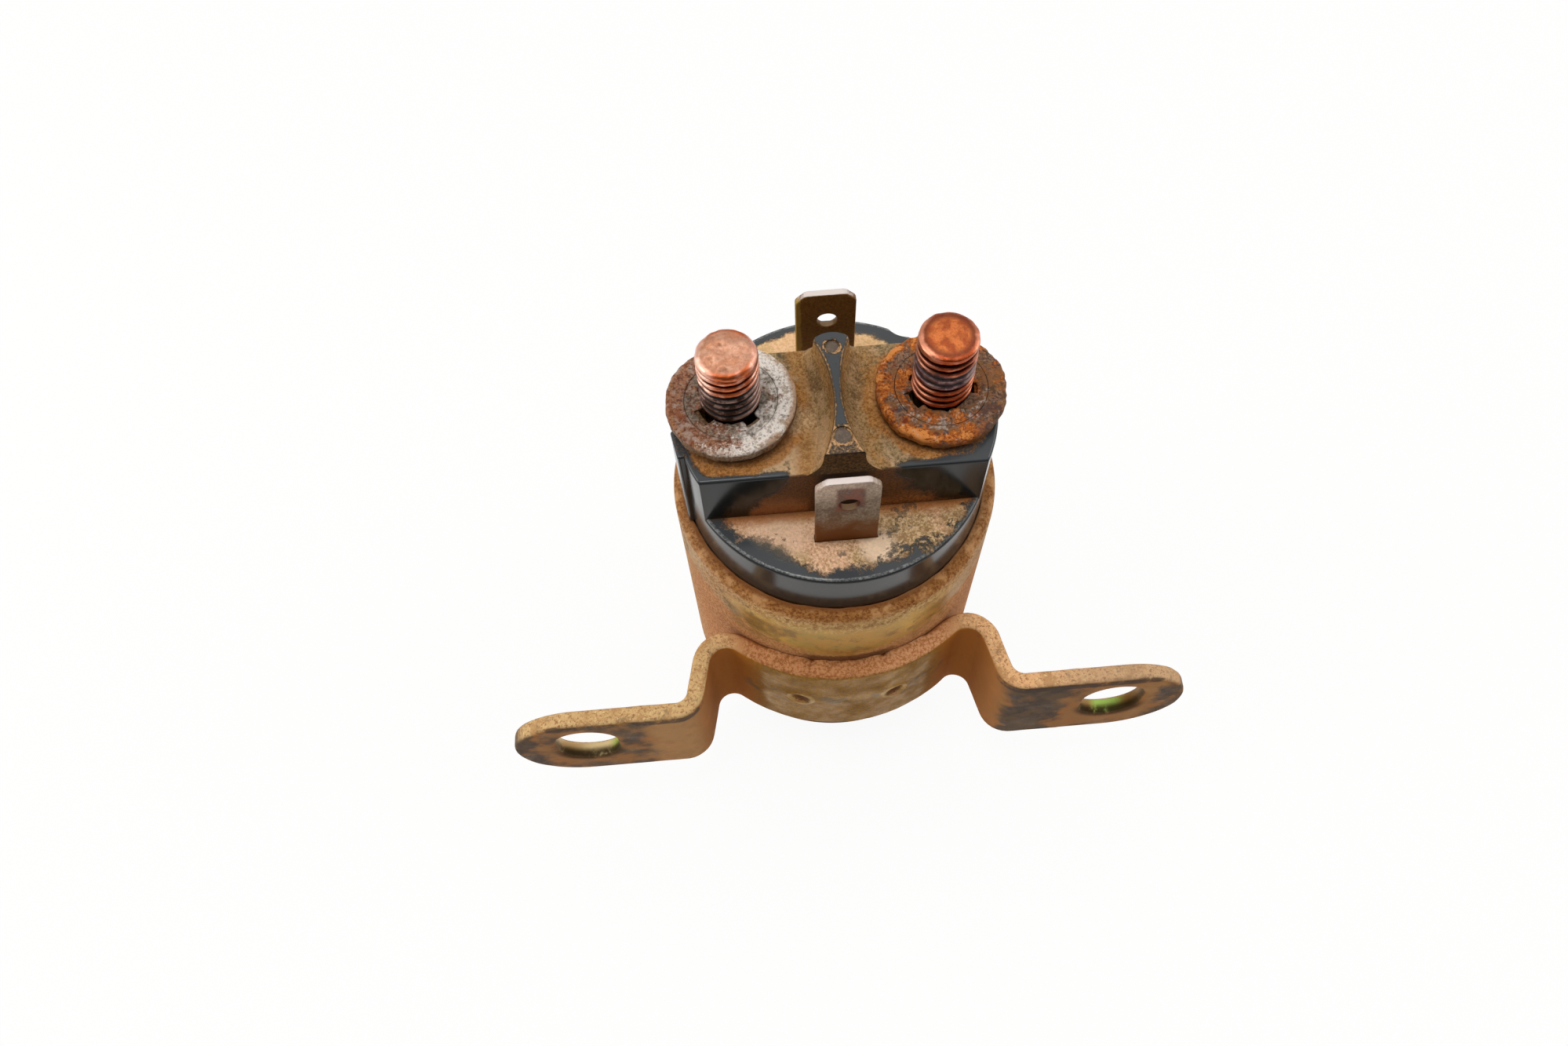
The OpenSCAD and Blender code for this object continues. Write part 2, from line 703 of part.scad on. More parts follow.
can();
mounting_strap();
terminal_cap();
left_stud();
right_stud();
stud_seal(-1);  // left_stud_seal
stud_seal(1);  // right_stud_seal
sealing_washer(-1, left_seal_t);  // left_sealing_washer
sealing_washer(1, right_seal_t);  // right_sealing_washer
flat_washer(-1, plateau_z + left_seal_t, "#a59a8b");  // left_flat_washer
flat_washer(1, plateau_z + right_seal_t, "#a8602c");  // right_flat_washer
lock_ring(-1, plateau_z + left_seal_t, "#8b8377");  // left_lock_ring
lock_ring(1, plateau_z + right_seal_t, "#7d5a41");  // right_lock_ring
blade(-1, ledge_z + front_blade_h);  // front_blade
blade(1, ledge_z + rear_blade_h);  // rear_blade
lead(-1);  // front_lead
lead(1);  // rear_lead
lead_sleeve(-1);  // front_lead_sleeve
lead_sleeve(1);  // rear_lead_sleeve
cap_gasket();
pole_plate();
fixed_core();
bobbin();
coil_winding();
cushion_washer();
guide_sleeve();
plunger_bumper();
plunger();
plunger_rod();
rod_collar();
retaining_clip();
return_spring();
contact_spring();
lower_insulator();
upper_insulator();
contact_bridge();
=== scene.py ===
# %% [markdown]
# # A weathered starter solenoid
# This lesson dresses a small starter solenoid: a steel can in a bent mounting
# strap, a black moulded cap, two copper studs under rusty washers, and two
# spade blades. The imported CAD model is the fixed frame. Every piece is made in
# that frame, with +Z up the studs, +X along the strap and -Y to the front.

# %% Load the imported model
import json
from math import atan2, cos, degrees, hypot, pi, radians, sin, sqrt, tan

import bmesh
import bpy
from mathutils import Matrix, Vector, noise


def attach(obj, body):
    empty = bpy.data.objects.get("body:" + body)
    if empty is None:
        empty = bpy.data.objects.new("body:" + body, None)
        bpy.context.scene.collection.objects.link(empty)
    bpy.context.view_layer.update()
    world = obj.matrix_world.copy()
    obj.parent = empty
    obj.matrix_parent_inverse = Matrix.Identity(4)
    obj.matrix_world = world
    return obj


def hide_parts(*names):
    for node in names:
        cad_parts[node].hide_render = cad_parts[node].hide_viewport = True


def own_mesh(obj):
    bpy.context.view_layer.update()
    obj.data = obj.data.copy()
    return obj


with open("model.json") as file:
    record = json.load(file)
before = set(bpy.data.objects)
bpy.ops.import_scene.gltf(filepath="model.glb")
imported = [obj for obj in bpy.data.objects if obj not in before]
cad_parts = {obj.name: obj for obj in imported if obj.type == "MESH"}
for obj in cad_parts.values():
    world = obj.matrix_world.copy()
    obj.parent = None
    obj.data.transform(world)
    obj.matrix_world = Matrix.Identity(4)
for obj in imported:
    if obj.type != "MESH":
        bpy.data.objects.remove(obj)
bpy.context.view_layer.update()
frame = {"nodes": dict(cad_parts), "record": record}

# %% [markdown]
# The sizes below are the ones that several pieces share. They are in
# millimetres, because a maker thinks of such a part in millimetres, and each
# mesh is scaled to metres when it is finished.

# %% Sizes in millimetres
MM = 0.001
CAN_R, CAN_WALL, CAN_TOP = 17.85, 1.0, 36.9
LIP_R, LIP_Z = 16.35, 35.9
CAP_R, LEDGE_Z, BLOCK_Z, BARRIER_Z = 16.25, 43.0, 50.5, 54.0
BLOCK_FRONT, BLOCK_REAR = -7.9, 7.0
STUD_X, STUD_R, PITCH = 10.45, 3.0, 1.0
WAIST, WAIST_Y, HOLLOW_R = 0.45, -1.0, 16.0  # half of the barrier's waist, its place and the sides' curve
MARKS = ((-5.8, 1.0), (4.6, 0.8))  # the ejector marks on the barrier: y and radius
BLADE_Y, BLADE_W, BLADE_T = 11.1, 6.35, 0.8
STRAP_T, STRAP_LOW, STRAP_HIGH = 2.0, 9.1, 25.1
WELD_X, WELD_UP = 5.5, 8.2  # a spot weld, beside the middle and above the strap's lower edge
EAR_END, SLOT_X, SLOT_W, SLOT_H, SLOT_Z = 39.0, 30.5, 7.0, 9.0, 18.0

# %% [markdown]
# Round pieces are turned from a half section, as on a lathe. Flat pieces are
# stacked from outlines. Both come down to rings of points that are joined with
# quads, so one small helper skins them all.

# %% Helpers for meshes
def skin(rings, closed=False, into=None):
    """Joins rings of points with quads, in a new mesh or into one. A ring of one point is a pole."""
    bm = into or bmesh.new()
    loops = [[bm.verts.new(point) for point in ring] for ring in rings]
    for low, high in zip(loops, loops[1:] + loops[:1] if closed else loops[1:]):
        count = max(len(low), len(high))
        for i in range(count):
            j = (i + 1) % count
            corners = [low[i % len(low)], low[j % len(low)], high[j % len(high)], high[i % len(high)]]
            bm.faces.new(list(dict.fromkeys(corners)))
    if not closed and not into:
        for ring in (loops[0], loops[-1]):
            if len(ring) > 1:
                bm.faces.new(ring)
    return bm


def rounded(corners, steps=5):
    """A path of (a, b) or (a, b, radius) corners, with arcs in place of the corners that have a radius."""
    path = []
    for i, corner in enumerate(corners):
        here = Vector(corner[:2])
        if len(corner) < 3:
            path.append(tuple(here))
            continue
        back = (Vector(corners[i - 1][:2]) - here).normalized()
        on = (Vector(corners[(i + 1) % len(corners)][:2]) - here).normalized()
        half = back.angle(on) / 2
        centre = here + (back + on).normalized() * corner[2] / sin(half)
        first = here + back * corner[2] / tan(half) - centre
        last = here + on * corner[2] / tan(half) - centre
        turn = first.angle(last)
        for step in range(steps + 1):
            share = step / steps
            arm = (first * sin((1 - share) * turn) + last * sin(share * turn)) / sin(turn)
            path.append(tuple(centre + arm))
    return path


def arc(r, first, last, steps, at=(0.0, 0.0)):
    """Points along an arc, from one angle to another."""
    angles = [first + (last - first) * i / steps for i in range(steps + 1)]
    return [(at[0] + r * cos(a), at[1] + r * sin(a)) for a in angles]


def circle(r, at=(0.0, 0.0), steps=48):
    return arc(r, 0, 2 * pi, steps, at)[:-1]


def lift(outline, z):
    """A flat outline, as a ring of points at a height."""
    return [(x, y, z) for x, y in outline]


AXIS = 1e-6  # a radius below this lies on the axis


def turned(profile, at, steps):
    """Rings for (radius, height) points. On the axis a ring is one point."""
    return [lift(circle(r, at, steps if r > AXIS else 1), z) for r, z in profile]


def lathe(profile, at=(0.0, 0.0), steps=160):
    """Turns a half section of (radius, height) points. It is closed, or starts and ends on the axis."""
    return skin(turned(profile, at, steps), closed=profile[0][0] > AXIS)


def inset(outline, depth):
    """Moves an anticlockwise outline inwards, or outwards where depth is negative."""
    points = [Vector(p) for p in outline]
    moved = []
    for i, here in enumerate(points):
        a = (here - points[i - 1]).normalized()
        b = (points[(i + 1) % len(points)] - here).normalized()
        normal = Vector((-a.y - b.y, a.x + b.x)).normalized()
        moved.append(tuple(here + normal * depth / max(normal.dot(Vector((-a.y, a.x))), 0.3)))
    return moved


def eased_top(outline, high, edge, steps=4):
    """Rings that round off the top edge of an upright form."""
    rings = []
    for step in range(steps + 1):
        angle = pi / 2 * step / steps
        rings.append(lift(inset(outline, edge * (1 - cos(angle))), high - edge + edge * sin(angle)))
    return rings


def block(outline, low, high, edge):
    """An upright block whose top edge is rounded."""
    return skin([lift(outline, low)] + eased_top(outline, high, edge))


def sheet(outline, holes, thickness, edge):
    """A flat sheet in the XY plane with rounded edges, as a press would cut it."""
    sharp_angle = 1.1
    bm = bmesh.new()
    rims = []
    for loop in [outline, *holes]:
        verts = [bm.verts.new((x, y, 0)) for x, y in loop]
        rims += [bm.edges.new((verts[i - 1], verts[i])) for i in range(len(verts))]
    bmesh.ops.triangle_fill(bm, edges=rims, use_beauty=True)
    lifted = bmesh.ops.extrude_face_region(bm, geom=bm.faces[:])["geom"]
    for vert in lifted:
        if isinstance(vert, bmesh.types.BMVert):
            vert.co.z += thickness
    bmesh.ops.recalc_face_normals(bm, faces=bm.faces[:])
    sharp = [e for e in bm.edges if len(e.link_faces) == 2 and e.calc_face_angle() > sharp_angle]
    bmesh.ops.bevel(bm, geom=sharp, offset=edge, segments=3, profile=0.5, affect="EDGES")
    return bm


def crust(bm, depth, grain, seed, where=lambda co: 1.0):
    """Moves points along their normals by smooth noise, for rust, dents and pitting."""
    bm.normal_update()
    shifts = []
    for vert in bm.verts:
        wave = noise.fractal(vert.co / grain + Vector((seed, 0, 0)), 1.0, 2.0, 3)
        shifts.append(wave * depth * where(vert.co))
    for vert, shift in zip(bm.verts, shifts):
        vert.co += vert.normal * shift


def shape(name, bm):
    """Turns a bmesh in millimetres into an object that other shapes can be joined to or cut from."""
    bmesh.ops.recalc_face_normals(bm, faces=bm.faces[:])
    mesh = bpy.data.meshes.new(name)
    bm.to_mesh(mesh)
    bm.free()
    obj = bpy.data.objects.new(name, mesh)
    bpy.context.scene.collection.objects.link(obj)
    return obj


def carve(target, tools, how):
    """Joins or cuts shapes with an exact boolean and keeps the result."""
    for tool in tools:
        step = target.modifiers.new(how, "BOOLEAN")
        step.operation, step.solver, step.object = how, "EXACT", tool
        solved = target.evaluated_get(bpy.context.evaluated_depsgraph_get())
        result = bpy.data.meshes.new_from_object(solved)
        target.modifiers.clear()
        target.data = result
        bpy.data.objects.remove(tool)
    return target


def finish_piece(obj, finish, nodes=(), body="housing", sharp=40):
    """Scales a shape to metres, gives it its finish and puts it on its body in place of its CAD nodes."""
    obj.data.transform(Matrix.Scale(MM, 4))
    obj.data.shade_smooth()
    obj.data.set_sharp_from_angle(angle=radians(sharp))
    even = obj.modifiers.new("even shading", "WEIGHTED_NORMAL")
    even.keep_sharp = True
    obj.data.materials.clear()
    obj.data.materials.append(finish)
    if nodes:
        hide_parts(*nodes)
    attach(obj, body)
    print(obj.name, len(obj.data.polygons), "faces,", [round(v / MM, 1) for v in obj.dimensions])
    return obj

# %% [markdown]
# The finishes are node materials. They read the object's own coordinates in
# millimetres, so dust can lie where it really lies, such as on ledges and in
# corners, and every view shows the same dirt. A recipe holds one material, and
# each value in it can be added, multiplied, mapped and painted over, so a stain
# takes one line: where it lies, and its colour.

# %% A recipe for node materials
def tint(code):
    """A colour written as a hex code, in the linear values that nodes use."""
    parts = [int(code[i:i + 2], 16) / 255 for i in (1, 3, 5)]
    return tuple(p / 12.92 if p <= 0.04045 else ((p + 0.055) / 1.055) ** 2.4 for p in parts) + (1.0,)


def feed(node, sources):
    """Gives a node's inputs plain values, colours written as hex codes, or the outputs of other nodes."""
    for name, source in sources.items():
        source = tint(source) if isinstance(source, str) else getattr(source, "socket", source)
        if isinstance(source, bpy.types.NodeSocket):
            node.id_data.links.new(source, node.inputs[name])
        else:
            node.inputs[name].default_value = source


def add_node(tree, kind, sources=None, **settings):
    made = tree.nodes.new(kind)
    for key, value in settings.items():
        setattr(made, key, value)
    feed(made, sources or {})
    return made


class Value:
    """What a node puts out. Arithmetic on values adds math nodes, so a mask reads like a formula."""

    def __init__(self, recipe, socket):
        self.recipe, self.socket = recipe, socket

    def __add__(self, other):
        return self.recipe.math("ADD", self, other)

    def __radd__(self, other):
        return self.recipe.math("ADD", other, self)

    def __sub__(self, other):
        return self.recipe.math("SUBTRACT", self, other)

    def __rsub__(self, other):
        return self.recipe.math("SUBTRACT", other, self)

    def __mul__(self, other):
        return self.recipe.math("MULTIPLY", self, other)

    def __abs__(self):
        return self.recipe.math("ABSOLUTE", self)

    def swing(self, size):
        """Noise made to swing evenly about zero."""
        return (self - 0.5) * size

    def ramp(self, low, high, to_low=0, to_high=1):
        """Smoothly maps low..high to to_low..to_high."""
        return self.recipe.value("ShaderNodeMapRange", {0: self, 1: low, 2: high, 3: to_low, 4: to_high},
            interpolation_type="SMOOTHSTEP")

    def window(self, low, high, soft):
        """1 between low and high, with soft ends."""
        return self.ramp(low, low + soft) * self.ramp(high, high - soft)

    def tones(self, dark, light, spread=0.1):
        """Noise turned into two tones, with a soft step between them."""
        return self.recipe.mix(self.ramp(0.5 - spread, 0.5 + spread), dark, light)

    def paint(self, share, tone):
        """Lays a tone over this colour where share is high."""
        self.socket = self.recipe.mix(share, self, tone).socket


class Recipe:
    """A material and its first values: x, y and z in millimetres, and how far it faces up and front."""

    def __init__(self, name, metallic=0):
        self.material = bpy.data.materials.new(name)
        self.material.use_nodes = True
        self.tree = self.material.node_tree
        self.shader = self.tree.nodes["Principled BSDF"]
        feed(self.shader, {"Metallic": metallic, "IOR": 1.5})
        place = add_node(self.tree, "ShaderNodeTexCoord").outputs
        self.place = self.value("ShaderNodeVectorMath", {0: place["Object"], "Scale": 1 / MM},
            operation="SCALE")
        split = add_node(self.tree, "ShaderNodeSeparateXYZ", {0: self.place})
        self.x, self.y, self.z = (Value(self, axis) for axis in split.outputs)
        facing = add_node(self.tree, "ShaderNodeSeparateXYZ", {0: place["Normal"]})
        self.up, self.front = Value(self, facing.outputs[2]), Value(self, facing.outputs[1]) * -1

    def value(self, kind, sources, out=0, **settings):
        return Value(self, add_node(self.tree, kind, sources, **settings).outputs[out])

    def math(self, operation, a, b=0, clamp=False):
        return self.value("ShaderNodeMath", {0: a, 1: b}, operation=operation, use_clamp=clamp)

    def most(self, a, b):
        return self.math("MAXIMUM", a, b)

    def length(self, a, b):
        return self.math("SQRT", a * a + b * b)

    def from_axis(self, x=0, y=0):
        """Distance in the plan from an upright axis."""
        return self.length(self.x - x, self.y - y)

    def moved(self, shift, scale):
        return self.value("ShaderNodeMapping", {"Vector": self.place, "Location": shift, "Scale": scale})

    def noise(self, grain, detail=3, rough=0.5, stretch=(1, 1, 1), seed=0):
        """Cloudy noise between 0 and 1 whose patches are about grain millimetres across."""
        place = self.moved((seed * 7.3, seed * 3.1, seed * 5.7), tuple(1 / (grain * s) for s in stretch))
        return self.value("ShaderNodeTexNoise",
            {"Vector": place, "Scale": 1, "Detail": detail, "Roughness": rough}, "Fac")

    def grains(self, grain, seed):
        """Distance to the nearest of many scattered grains, 0 at its middle."""
        place = self.moved((seed, seed * 2, seed * 3), (1 / grain,) * 3)
        return self.value("ShaderNodeTexVoronoi", {"Vector": place, "Scale": 1}, "Distance")

    def mix(self, share, a, b):
        return self.value("ShaderNodeMix", {"Factor": share, "A": a, "B": b}, "Result", data_type="RGBA")

    def blend(self, share, a, b):
        """A number that goes from a to b."""
        return self.value("ShaderNodeMix", {0: share, 2: a, 3: b}, data_type="FLOAT")

    def corner(self, reach):
        """How open the surface is: 0 deep in a corner, 1 in the open."""
        return self.value("ShaderNodeAmbientOcclusion", {"Distance": reach * MM}, "AO", samples=6)

    def bump(self, height, depth):
        """Relief of depth millimetres where height goes from 0 to 1."""
        return self.value("ShaderNodeBump", {"Distance": depth * MM, "Height": height}, "Normal")

    def done(self, color, roughness, normal, metallic=None, gloss=0.5):
        """Feeds the shader. gloss stays a plain number, because the export drops a linked one."""
        feed(self.shader, {"Base Color": color, "Roughness": roughness, "Normal": normal,
            "Specular IOR Level": gloss})
        if metallic is not None:
            feed(self.shader, {"Metallic": metallic})
        return self.material

# %% [markdown]
# The camera stands high in front of the solenoid, as the photographer's did. Its
# place comes from matching known points of the part with the photograph: it
# looks down at 62.6 degrees, with a slight turn and roll.

# %% Camera
camera = bpy.data.objects.new("camera", bpy.data.cameras.new("camera"))
camera.data.sensor_width = 36.0
camera.data.lens = 27.13
camera.data.clip_start = 0.005
look_down, turn, roll = radians(62.64), radians(2.25), radians(2.71)
stand = Vector((-8.33, -64.63, 150.53)) * MM
camera.matrix_world = (Matrix.Translation(stand)
    @ Matrix.Rotation(-turn, 4, "Z") @ Matrix.Rotation(pi / 2 - look_down, 4, "X")
    @ Matrix.Rotation(-roll, 4, "Z"))
bpy.context.scene.collection.objects.link(camera)
bpy.context.scene.camera = camera
print("camera at", [round(v / MM, 1) for v in camera.location])

# %% [markdown]
# ## Gold chromate under dust
# The can and the strap are zinc plated and gold chromated: a thin metallic
# yellow with hints of green and pink. Years under a bonnet left an orange-tan
# dust film, grey-brown stains and rust in the seams. The metal shows where the
# film is thin, so one mask drives colour, roughness and metallic together.

# %% Materials: chromated steel
def plating(r, seed):
    """The layers that the can and the strap share, and the noises that break them up."""
    ragged = r.noise(3.2, 9, 0.68, seed=seed)
    speckle = r.noise(0.32, 6, 0.74, seed=seed + 1)
    cloud = r.noise(7, 3, 0.5, seed=seed + 2)
    gold = cloud.tones("#cda34a", "#b4873c")
    gold.paint(ragged.ramp(0.5, 0.64, 0, 0.6), "#958a44")
    dust = speckle.tones("#8d5a2c", "#c99a68")
    dust.paint(cloud.ramp(0.42, 0.6, 0, 0.65), "#b08450")
    stain = speckle.tones("#41362c", "#786450")
    return ragged, speckle, cloud, gold, dust, stain


def plated_finish(r, color, film, speckle, ragged):
    """Bare plating is smooth metal. A film of dust makes it rough and dull."""
    bare = r.math("SUBTRACT", 1, film, clamp=True)
    relief = r.bump(speckle * 0.7 + ragged * 0.5, 0.1)
    return r.done(color, r.blend(film, 0.34, 0.8), relief, bare * 0.95, 0.15)


def can_finish():
    r = Recipe("chromated can steel")
    ragged, speckle, cloud, gold, dust, stain = plating(r, 1)
    radius = r.from_axis()
    # Painted sheen: faces that look to the front get a thin film between these heights, so a bright band of
    # bare gold shows there.
    rub_and_sheen = r.front.ramp(0.5, 0.9) * r.z.window(25.5, 35.4, 2)
    film = (0.98 + rub_and_sheen * -0.9 + ragged.swing(1.3) + speckle.swing(0.5)).ramp(0.1, 0.9)
    color = r.mix(film, gold, dust)
    patches = r.noise(2.2, 9, 0.68, seed=31)
    pale = abs(r.x).ramp(9, 15) * (cloud + patches.swing(0.6)).ramp(0.4, 0.6, 0.35, 0.9)
    color.paint(pale, speckle.tones("#a4835e", "#ccae8c"))
    behind = r.front.ramp(0, -0.5) * (patches + cloud.swing(0.4)).ramp(0.5, 0.64, 0, 0.75)
    color.paint(behind, cloud.tones("#7a5a38", "#b39a5c", 0.06))
    grey = (r.z.window(29, 36.8, 2) * patches.ramp(0.52, 0.62, 0, 0.7) * r.front.ramp(0.98, 0.75, 0.4, 1)
        * r.x.ramp(13, 8))
    color.paint(grey, stain)
    # Cream streaks on the front under the lip: partly fibrous dust, partly a painted highlight.
    streak_noise = r.noise(0.55, 7, 0.75, stretch=(0.9, 0.9, 1.5), seed=33)
    cream = r.z.window(32.4, 36.7, 1.3) * r.front.ramp(0.62, 0.9) * streak_noise.ramp(0.42, 0.56)
    color.paint(cream * 0.9, speckle.tones("#c79a5c", "#e0bf85"))
    low = r.z + abs(r.x) * -0.3 + ragged.swing(3.8) + patches.swing(2)
    low = low.ramp(27.2, 25.6) * r.front.ramp(0.1, 0.5)
    color.paint(low * 0.9, speckle.tones("#a5683a", "#cf9868"))
    tarnish = ((patches + r.x.ramp(-5, -10, 0, 0.12)).ramp(0.5, 0.62, 0, 0.6) * r.z.window(26.5, 33.5, 1.5)
        * r.front.ramp(0.6, 0.8))
    color.paint(tarnish, "#80602c")
    # Painted shadow: a dark brown patch at the front middle, where the can meets the dust bank on the strap.
    nook_shadow = (r.x + ragged.swing(3)).window(-6.5, 6, 2.5) * r.z.ramp(27.1, 26.3)
    color.paint(nook_shadow * r.front.ramp(0.8, 0.9) * 0.8, "#5c3412")
    lip = (r.z + streak_noise.swing(1.6)).ramp(35.9, 36.5) * r.z.ramp(35, 35.4)
    lip_brown = r.mix(speckle.ramp(0.36, 0.62), "#683610", "#a06830")
    color.paint(lip * 0.85, r.mix(patches.ramp(0.49, 0.62), lip_brown, "#bd8a58"))
    seam = (radius + ragged.swing(0.8)).ramp(17.1, 16.6) * r.z.ramp(34, 35) * r.x.ramp(6, 11, 0.8, 0.2)
    color.paint(seam, "#74411a")
    crease = r.corner(1.2).ramp(0.35, 0.85, 0.6, 0)
    color.paint(crease, r.mix(r.x.ramp(2, 7), "#a46d42", "#c48e60"))
    film = r.most(r.most(film, low), r.most(lip, cream))
    return plated_finish(r, color, film, speckle, ragged)


def strap_finish():
    r = Recipe("chromated strap steel")
    ragged, speckle, _, gold, dust, stain = plating(r, 4)
    side = abs(r.x)
    on_arc = side.ramp(14, 10.5)
    top = r.up.ramp(0.3, 0.75)
    patches = r.noise(2.4, 9, 0.66, seed=41)
    soft = r.noise(3.4, 5, 0.56, seed=49)
    in_loop = side.ramp(9, 12) * side.ramp(18, 14.5)
    film = r.blend(on_arc, 0.75, 0.5) + ragged.swing(1.5) + speckle.swing(0.5) + in_loop
    film = film.ramp(0.1, 0.9)

    # front faces: yellow-brown round the can, orange in the loops, stained on the ears
    face = r.mix(film, r.mix(0.7, gold, "#8f620a"), r.mix(on_arc, "#a57242", "#976a1c"))
    face.paint(on_arc * speckle.ramp(0.56, 0.42, 0, 0.6), "#6b4a1e")
    face.paint(in_loop * 0.9, "#a5600e")
    smudge = (r.x.window(15.5, 26.5, 3.5) + r.x.ramp(33, 36.5) * 0.45 + r.x.window(-27.5, -21.5, 2.8) * 0.6
        + r.x.ramp(-35, -37.5) * 0.8 + r.x.ramp(-24, -27, 0, 0.35)
        + r.z.ramp(STRAP_HIGH - 3, STRAP_HIGH - 0.5, 0, 0.3) + r.z.ramp(STRAP_LOW + 2.5, STRAP_LOW, 0, 0.4)
        + r.x.ramp(14, 17, 0, 0.12) + soft.swing(3.2) + patches.swing(0.7) + speckle.swing(0.3))
    smudge = smudge.ramp(0.2, 1, 0, 0.95) * side.ramp(16.5, 18.5)
    face.paint(smudge, patches.tones("#4a3f38", "#66523e"))
    bruise = on_arc * (patches + r.z.window(12, 22, 4)).ramp(1.46, 1.62, 0, 0.65)
    face.paint(bruise, "#5e4c2c")
    warm = r.noise(3.2, 6, 0.58, seed=43).ramp(0.5, 0.64, 0, 0.8) * (1 - smudge)
    face.paint(warm * side.ramp(14, 18), "#b0703a")
    face.paint(r.x.window(-24.5, -16.5, 2.5) * ragged.ramp(0.4, 0.56, 0.25, 0.6), "#c89a68")
    # Each spot weld: a brown pit, and round it a lighter ring that is a painted highlight on the raised rim.
    spot = r.length(side - WELD_X, (r.z - (STRAP_LOW + WELD_UP)) * 0.9) + speckle.swing(0.7)
    face.paint(spot.window(0.95, 1.75, 0.3), "#b3905a")
    face.paint(spot.ramp(1.15, 0.7, 0, 0.9), "#62350f")

    # upper edges: pale tan with gold glints that are painted highlights, brown crumbs and grey dirt; along
    # the front, a dark band under the edge is partly grey dirt and partly painted shade
    ridge = r.mix(on_arc, r.mix(r.x.ramp(-18, -8), "#d0ac78", "#e0b07e"), "#b9804c")
    ridge.paint(speckle.ramp(0.5, 0.6, 0, 0.8), "#8a5530")
    ridge.paint(patches.ramp(0.5, 0.62, 0, 0.7), dust)
    # Painted highlights: gold glints on the upper edges of the loops and ears.
    glint = r.noise(0.5, 7, 0.8, seed=45)
    ridge.paint(glint.ramp(0.56, 0.66, 0, 0.9) * (1 - on_arc), "#ecd49c")
    ridge.paint(r.noise(1.6, 9, 0.72, seed=47).ramp(0.56, 0.66, 0, 0.5), stain)
    ridge.paint(on_arc * 0.7, r.mix(speckle.ramp(0.42, 0.58), r.mix(r.x.ramp(1, 6), "#8c5028", "#a8683c"),
        r.mix(r.x.ramp(1, 6), "#cf9566", "#e4ae80")))
    ridge.paint(r.x.ramp(20, 28, 0, 0.4), "#98866f")
    color = r.mix(top, face, ridge)
    # A dark band under the upper edge on the front of the loops and ears: partly grey dirt, partly painted
    # shade.
    rim = (r.z.window(STRAP_HIGH - 1.6, STRAP_HIGH - 0.06, 0.4) * side.ramp(14, 17)
        * (0.55 + ragged.swing(2.2)).ramp(0.35, 0.6) * r.front.ramp(0.2, 0.6))
    color.paint(rim * 0.85, "#4f3f33")

    # slots: bright plating inside; dirt and painted shade at the front of the slot wall and on the lower lip
    slot_x = abs(side - SLOT_X)
    over = r.most(abs(r.z - SLOT_Z) - (SLOT_H - SLOT_W) / 2, 0)
    reach = r.length(slot_x, over)
    in_slot = reach.ramp(3.85, 3.55) * abs(r.front).ramp(0.75, 0.45)
    fresh = r.mix(r.x.ramp(-29, -27.4), "#e8cf9c", "#a9b84a")
    fresh.paint(r.x.ramp(0, 5), r.mix(r.x.window(28.6, 33.4, 1.5), "#a5814e", "#aecf68"))
    # Partly dirt, partly painted shade: darker towards the front of the slot wall and on the slot's lower
    # lip.
    fresh.paint(r.y.ramp(-21.4, -22.3) * ragged.ramp(0.4, 0.56) * 0.8, "#5a4020")
    color.paint(in_slot, fresh)
    lip = reach.ramp(4.7, 3.6) * r.z.ramp(SLOT_Z, SLOT_Z - 3) * (0.7 + ragged.swing(2.4)).ramp(0.3, 0.7)
    lip = lip * r.y.ramp(-21.6, -22.4)
    color.paint(lip * 0.85, "#35260f")
    crease = r.corner(1.4).ramp(0.3, 0.8, 0.75, 0)
    color.paint(crease * (1 - in_slot), "#7e400c")
    film = r.most(film, top * 0.7) * (1 - in_slot * 0.6)
    return plated_finish(r, color, film, speckle, ragged)


can_steel, strap_steel = can_finish(), strap_finish()
print("made", can_steel.name, "and", strap_steel.name)

# %% [markdown]
# ## The can
# The can is one deep-drawn cup. After assembly its rim is rolled over the cap,
# which leaves a rounded shoulder and a slightly uneven inner edge. Turning the
# half section gives the exact drawn form, and a little noise on the rim gives
# the rolled edge its unevenness.

# %% The can
BASE_T, BASE_EDGE, RIM_EDGE, LIP_EDGE = 1.2, 3.2, 1.15, 0.2
ROLLED_FROM = 35.0
can = lathe(rounded([
    (0.0, 0.0), (CAN_R, 0.0, BASE_EDGE), (CAN_R, CAN_TOP - 2.6), (CAN_R, CAN_TOP, RIM_EDGE),
    (LIP_R, CAN_TOP, LIP_EDGE), (LIP_R, LIP_Z), (CAN_R - CAN_WALL, LIP_Z), (CAN_R - CAN_WALL, BASE_T),
    (0.0, BASE_T)], 8), steps=288)
crust(can, 0.12, 2.6, 3.0, lambda co: co.z > ROLLED_FROM and hypot(co.x, co.y) < CAN_R - 0.2)
finish_piece(shape("drawn_can", can), can_steel, ["can"])

# %% [markdown]
# ## The mounting strap
# The real strap is cut flat and then bent in a press, and it is made here the
# same way. A flat blank with two slots is cut into fine strips, and each point
# is then carried along the bent path: round the can, through the loop, down
# the leg and out along the ear. The edges stay rounded through every bend.

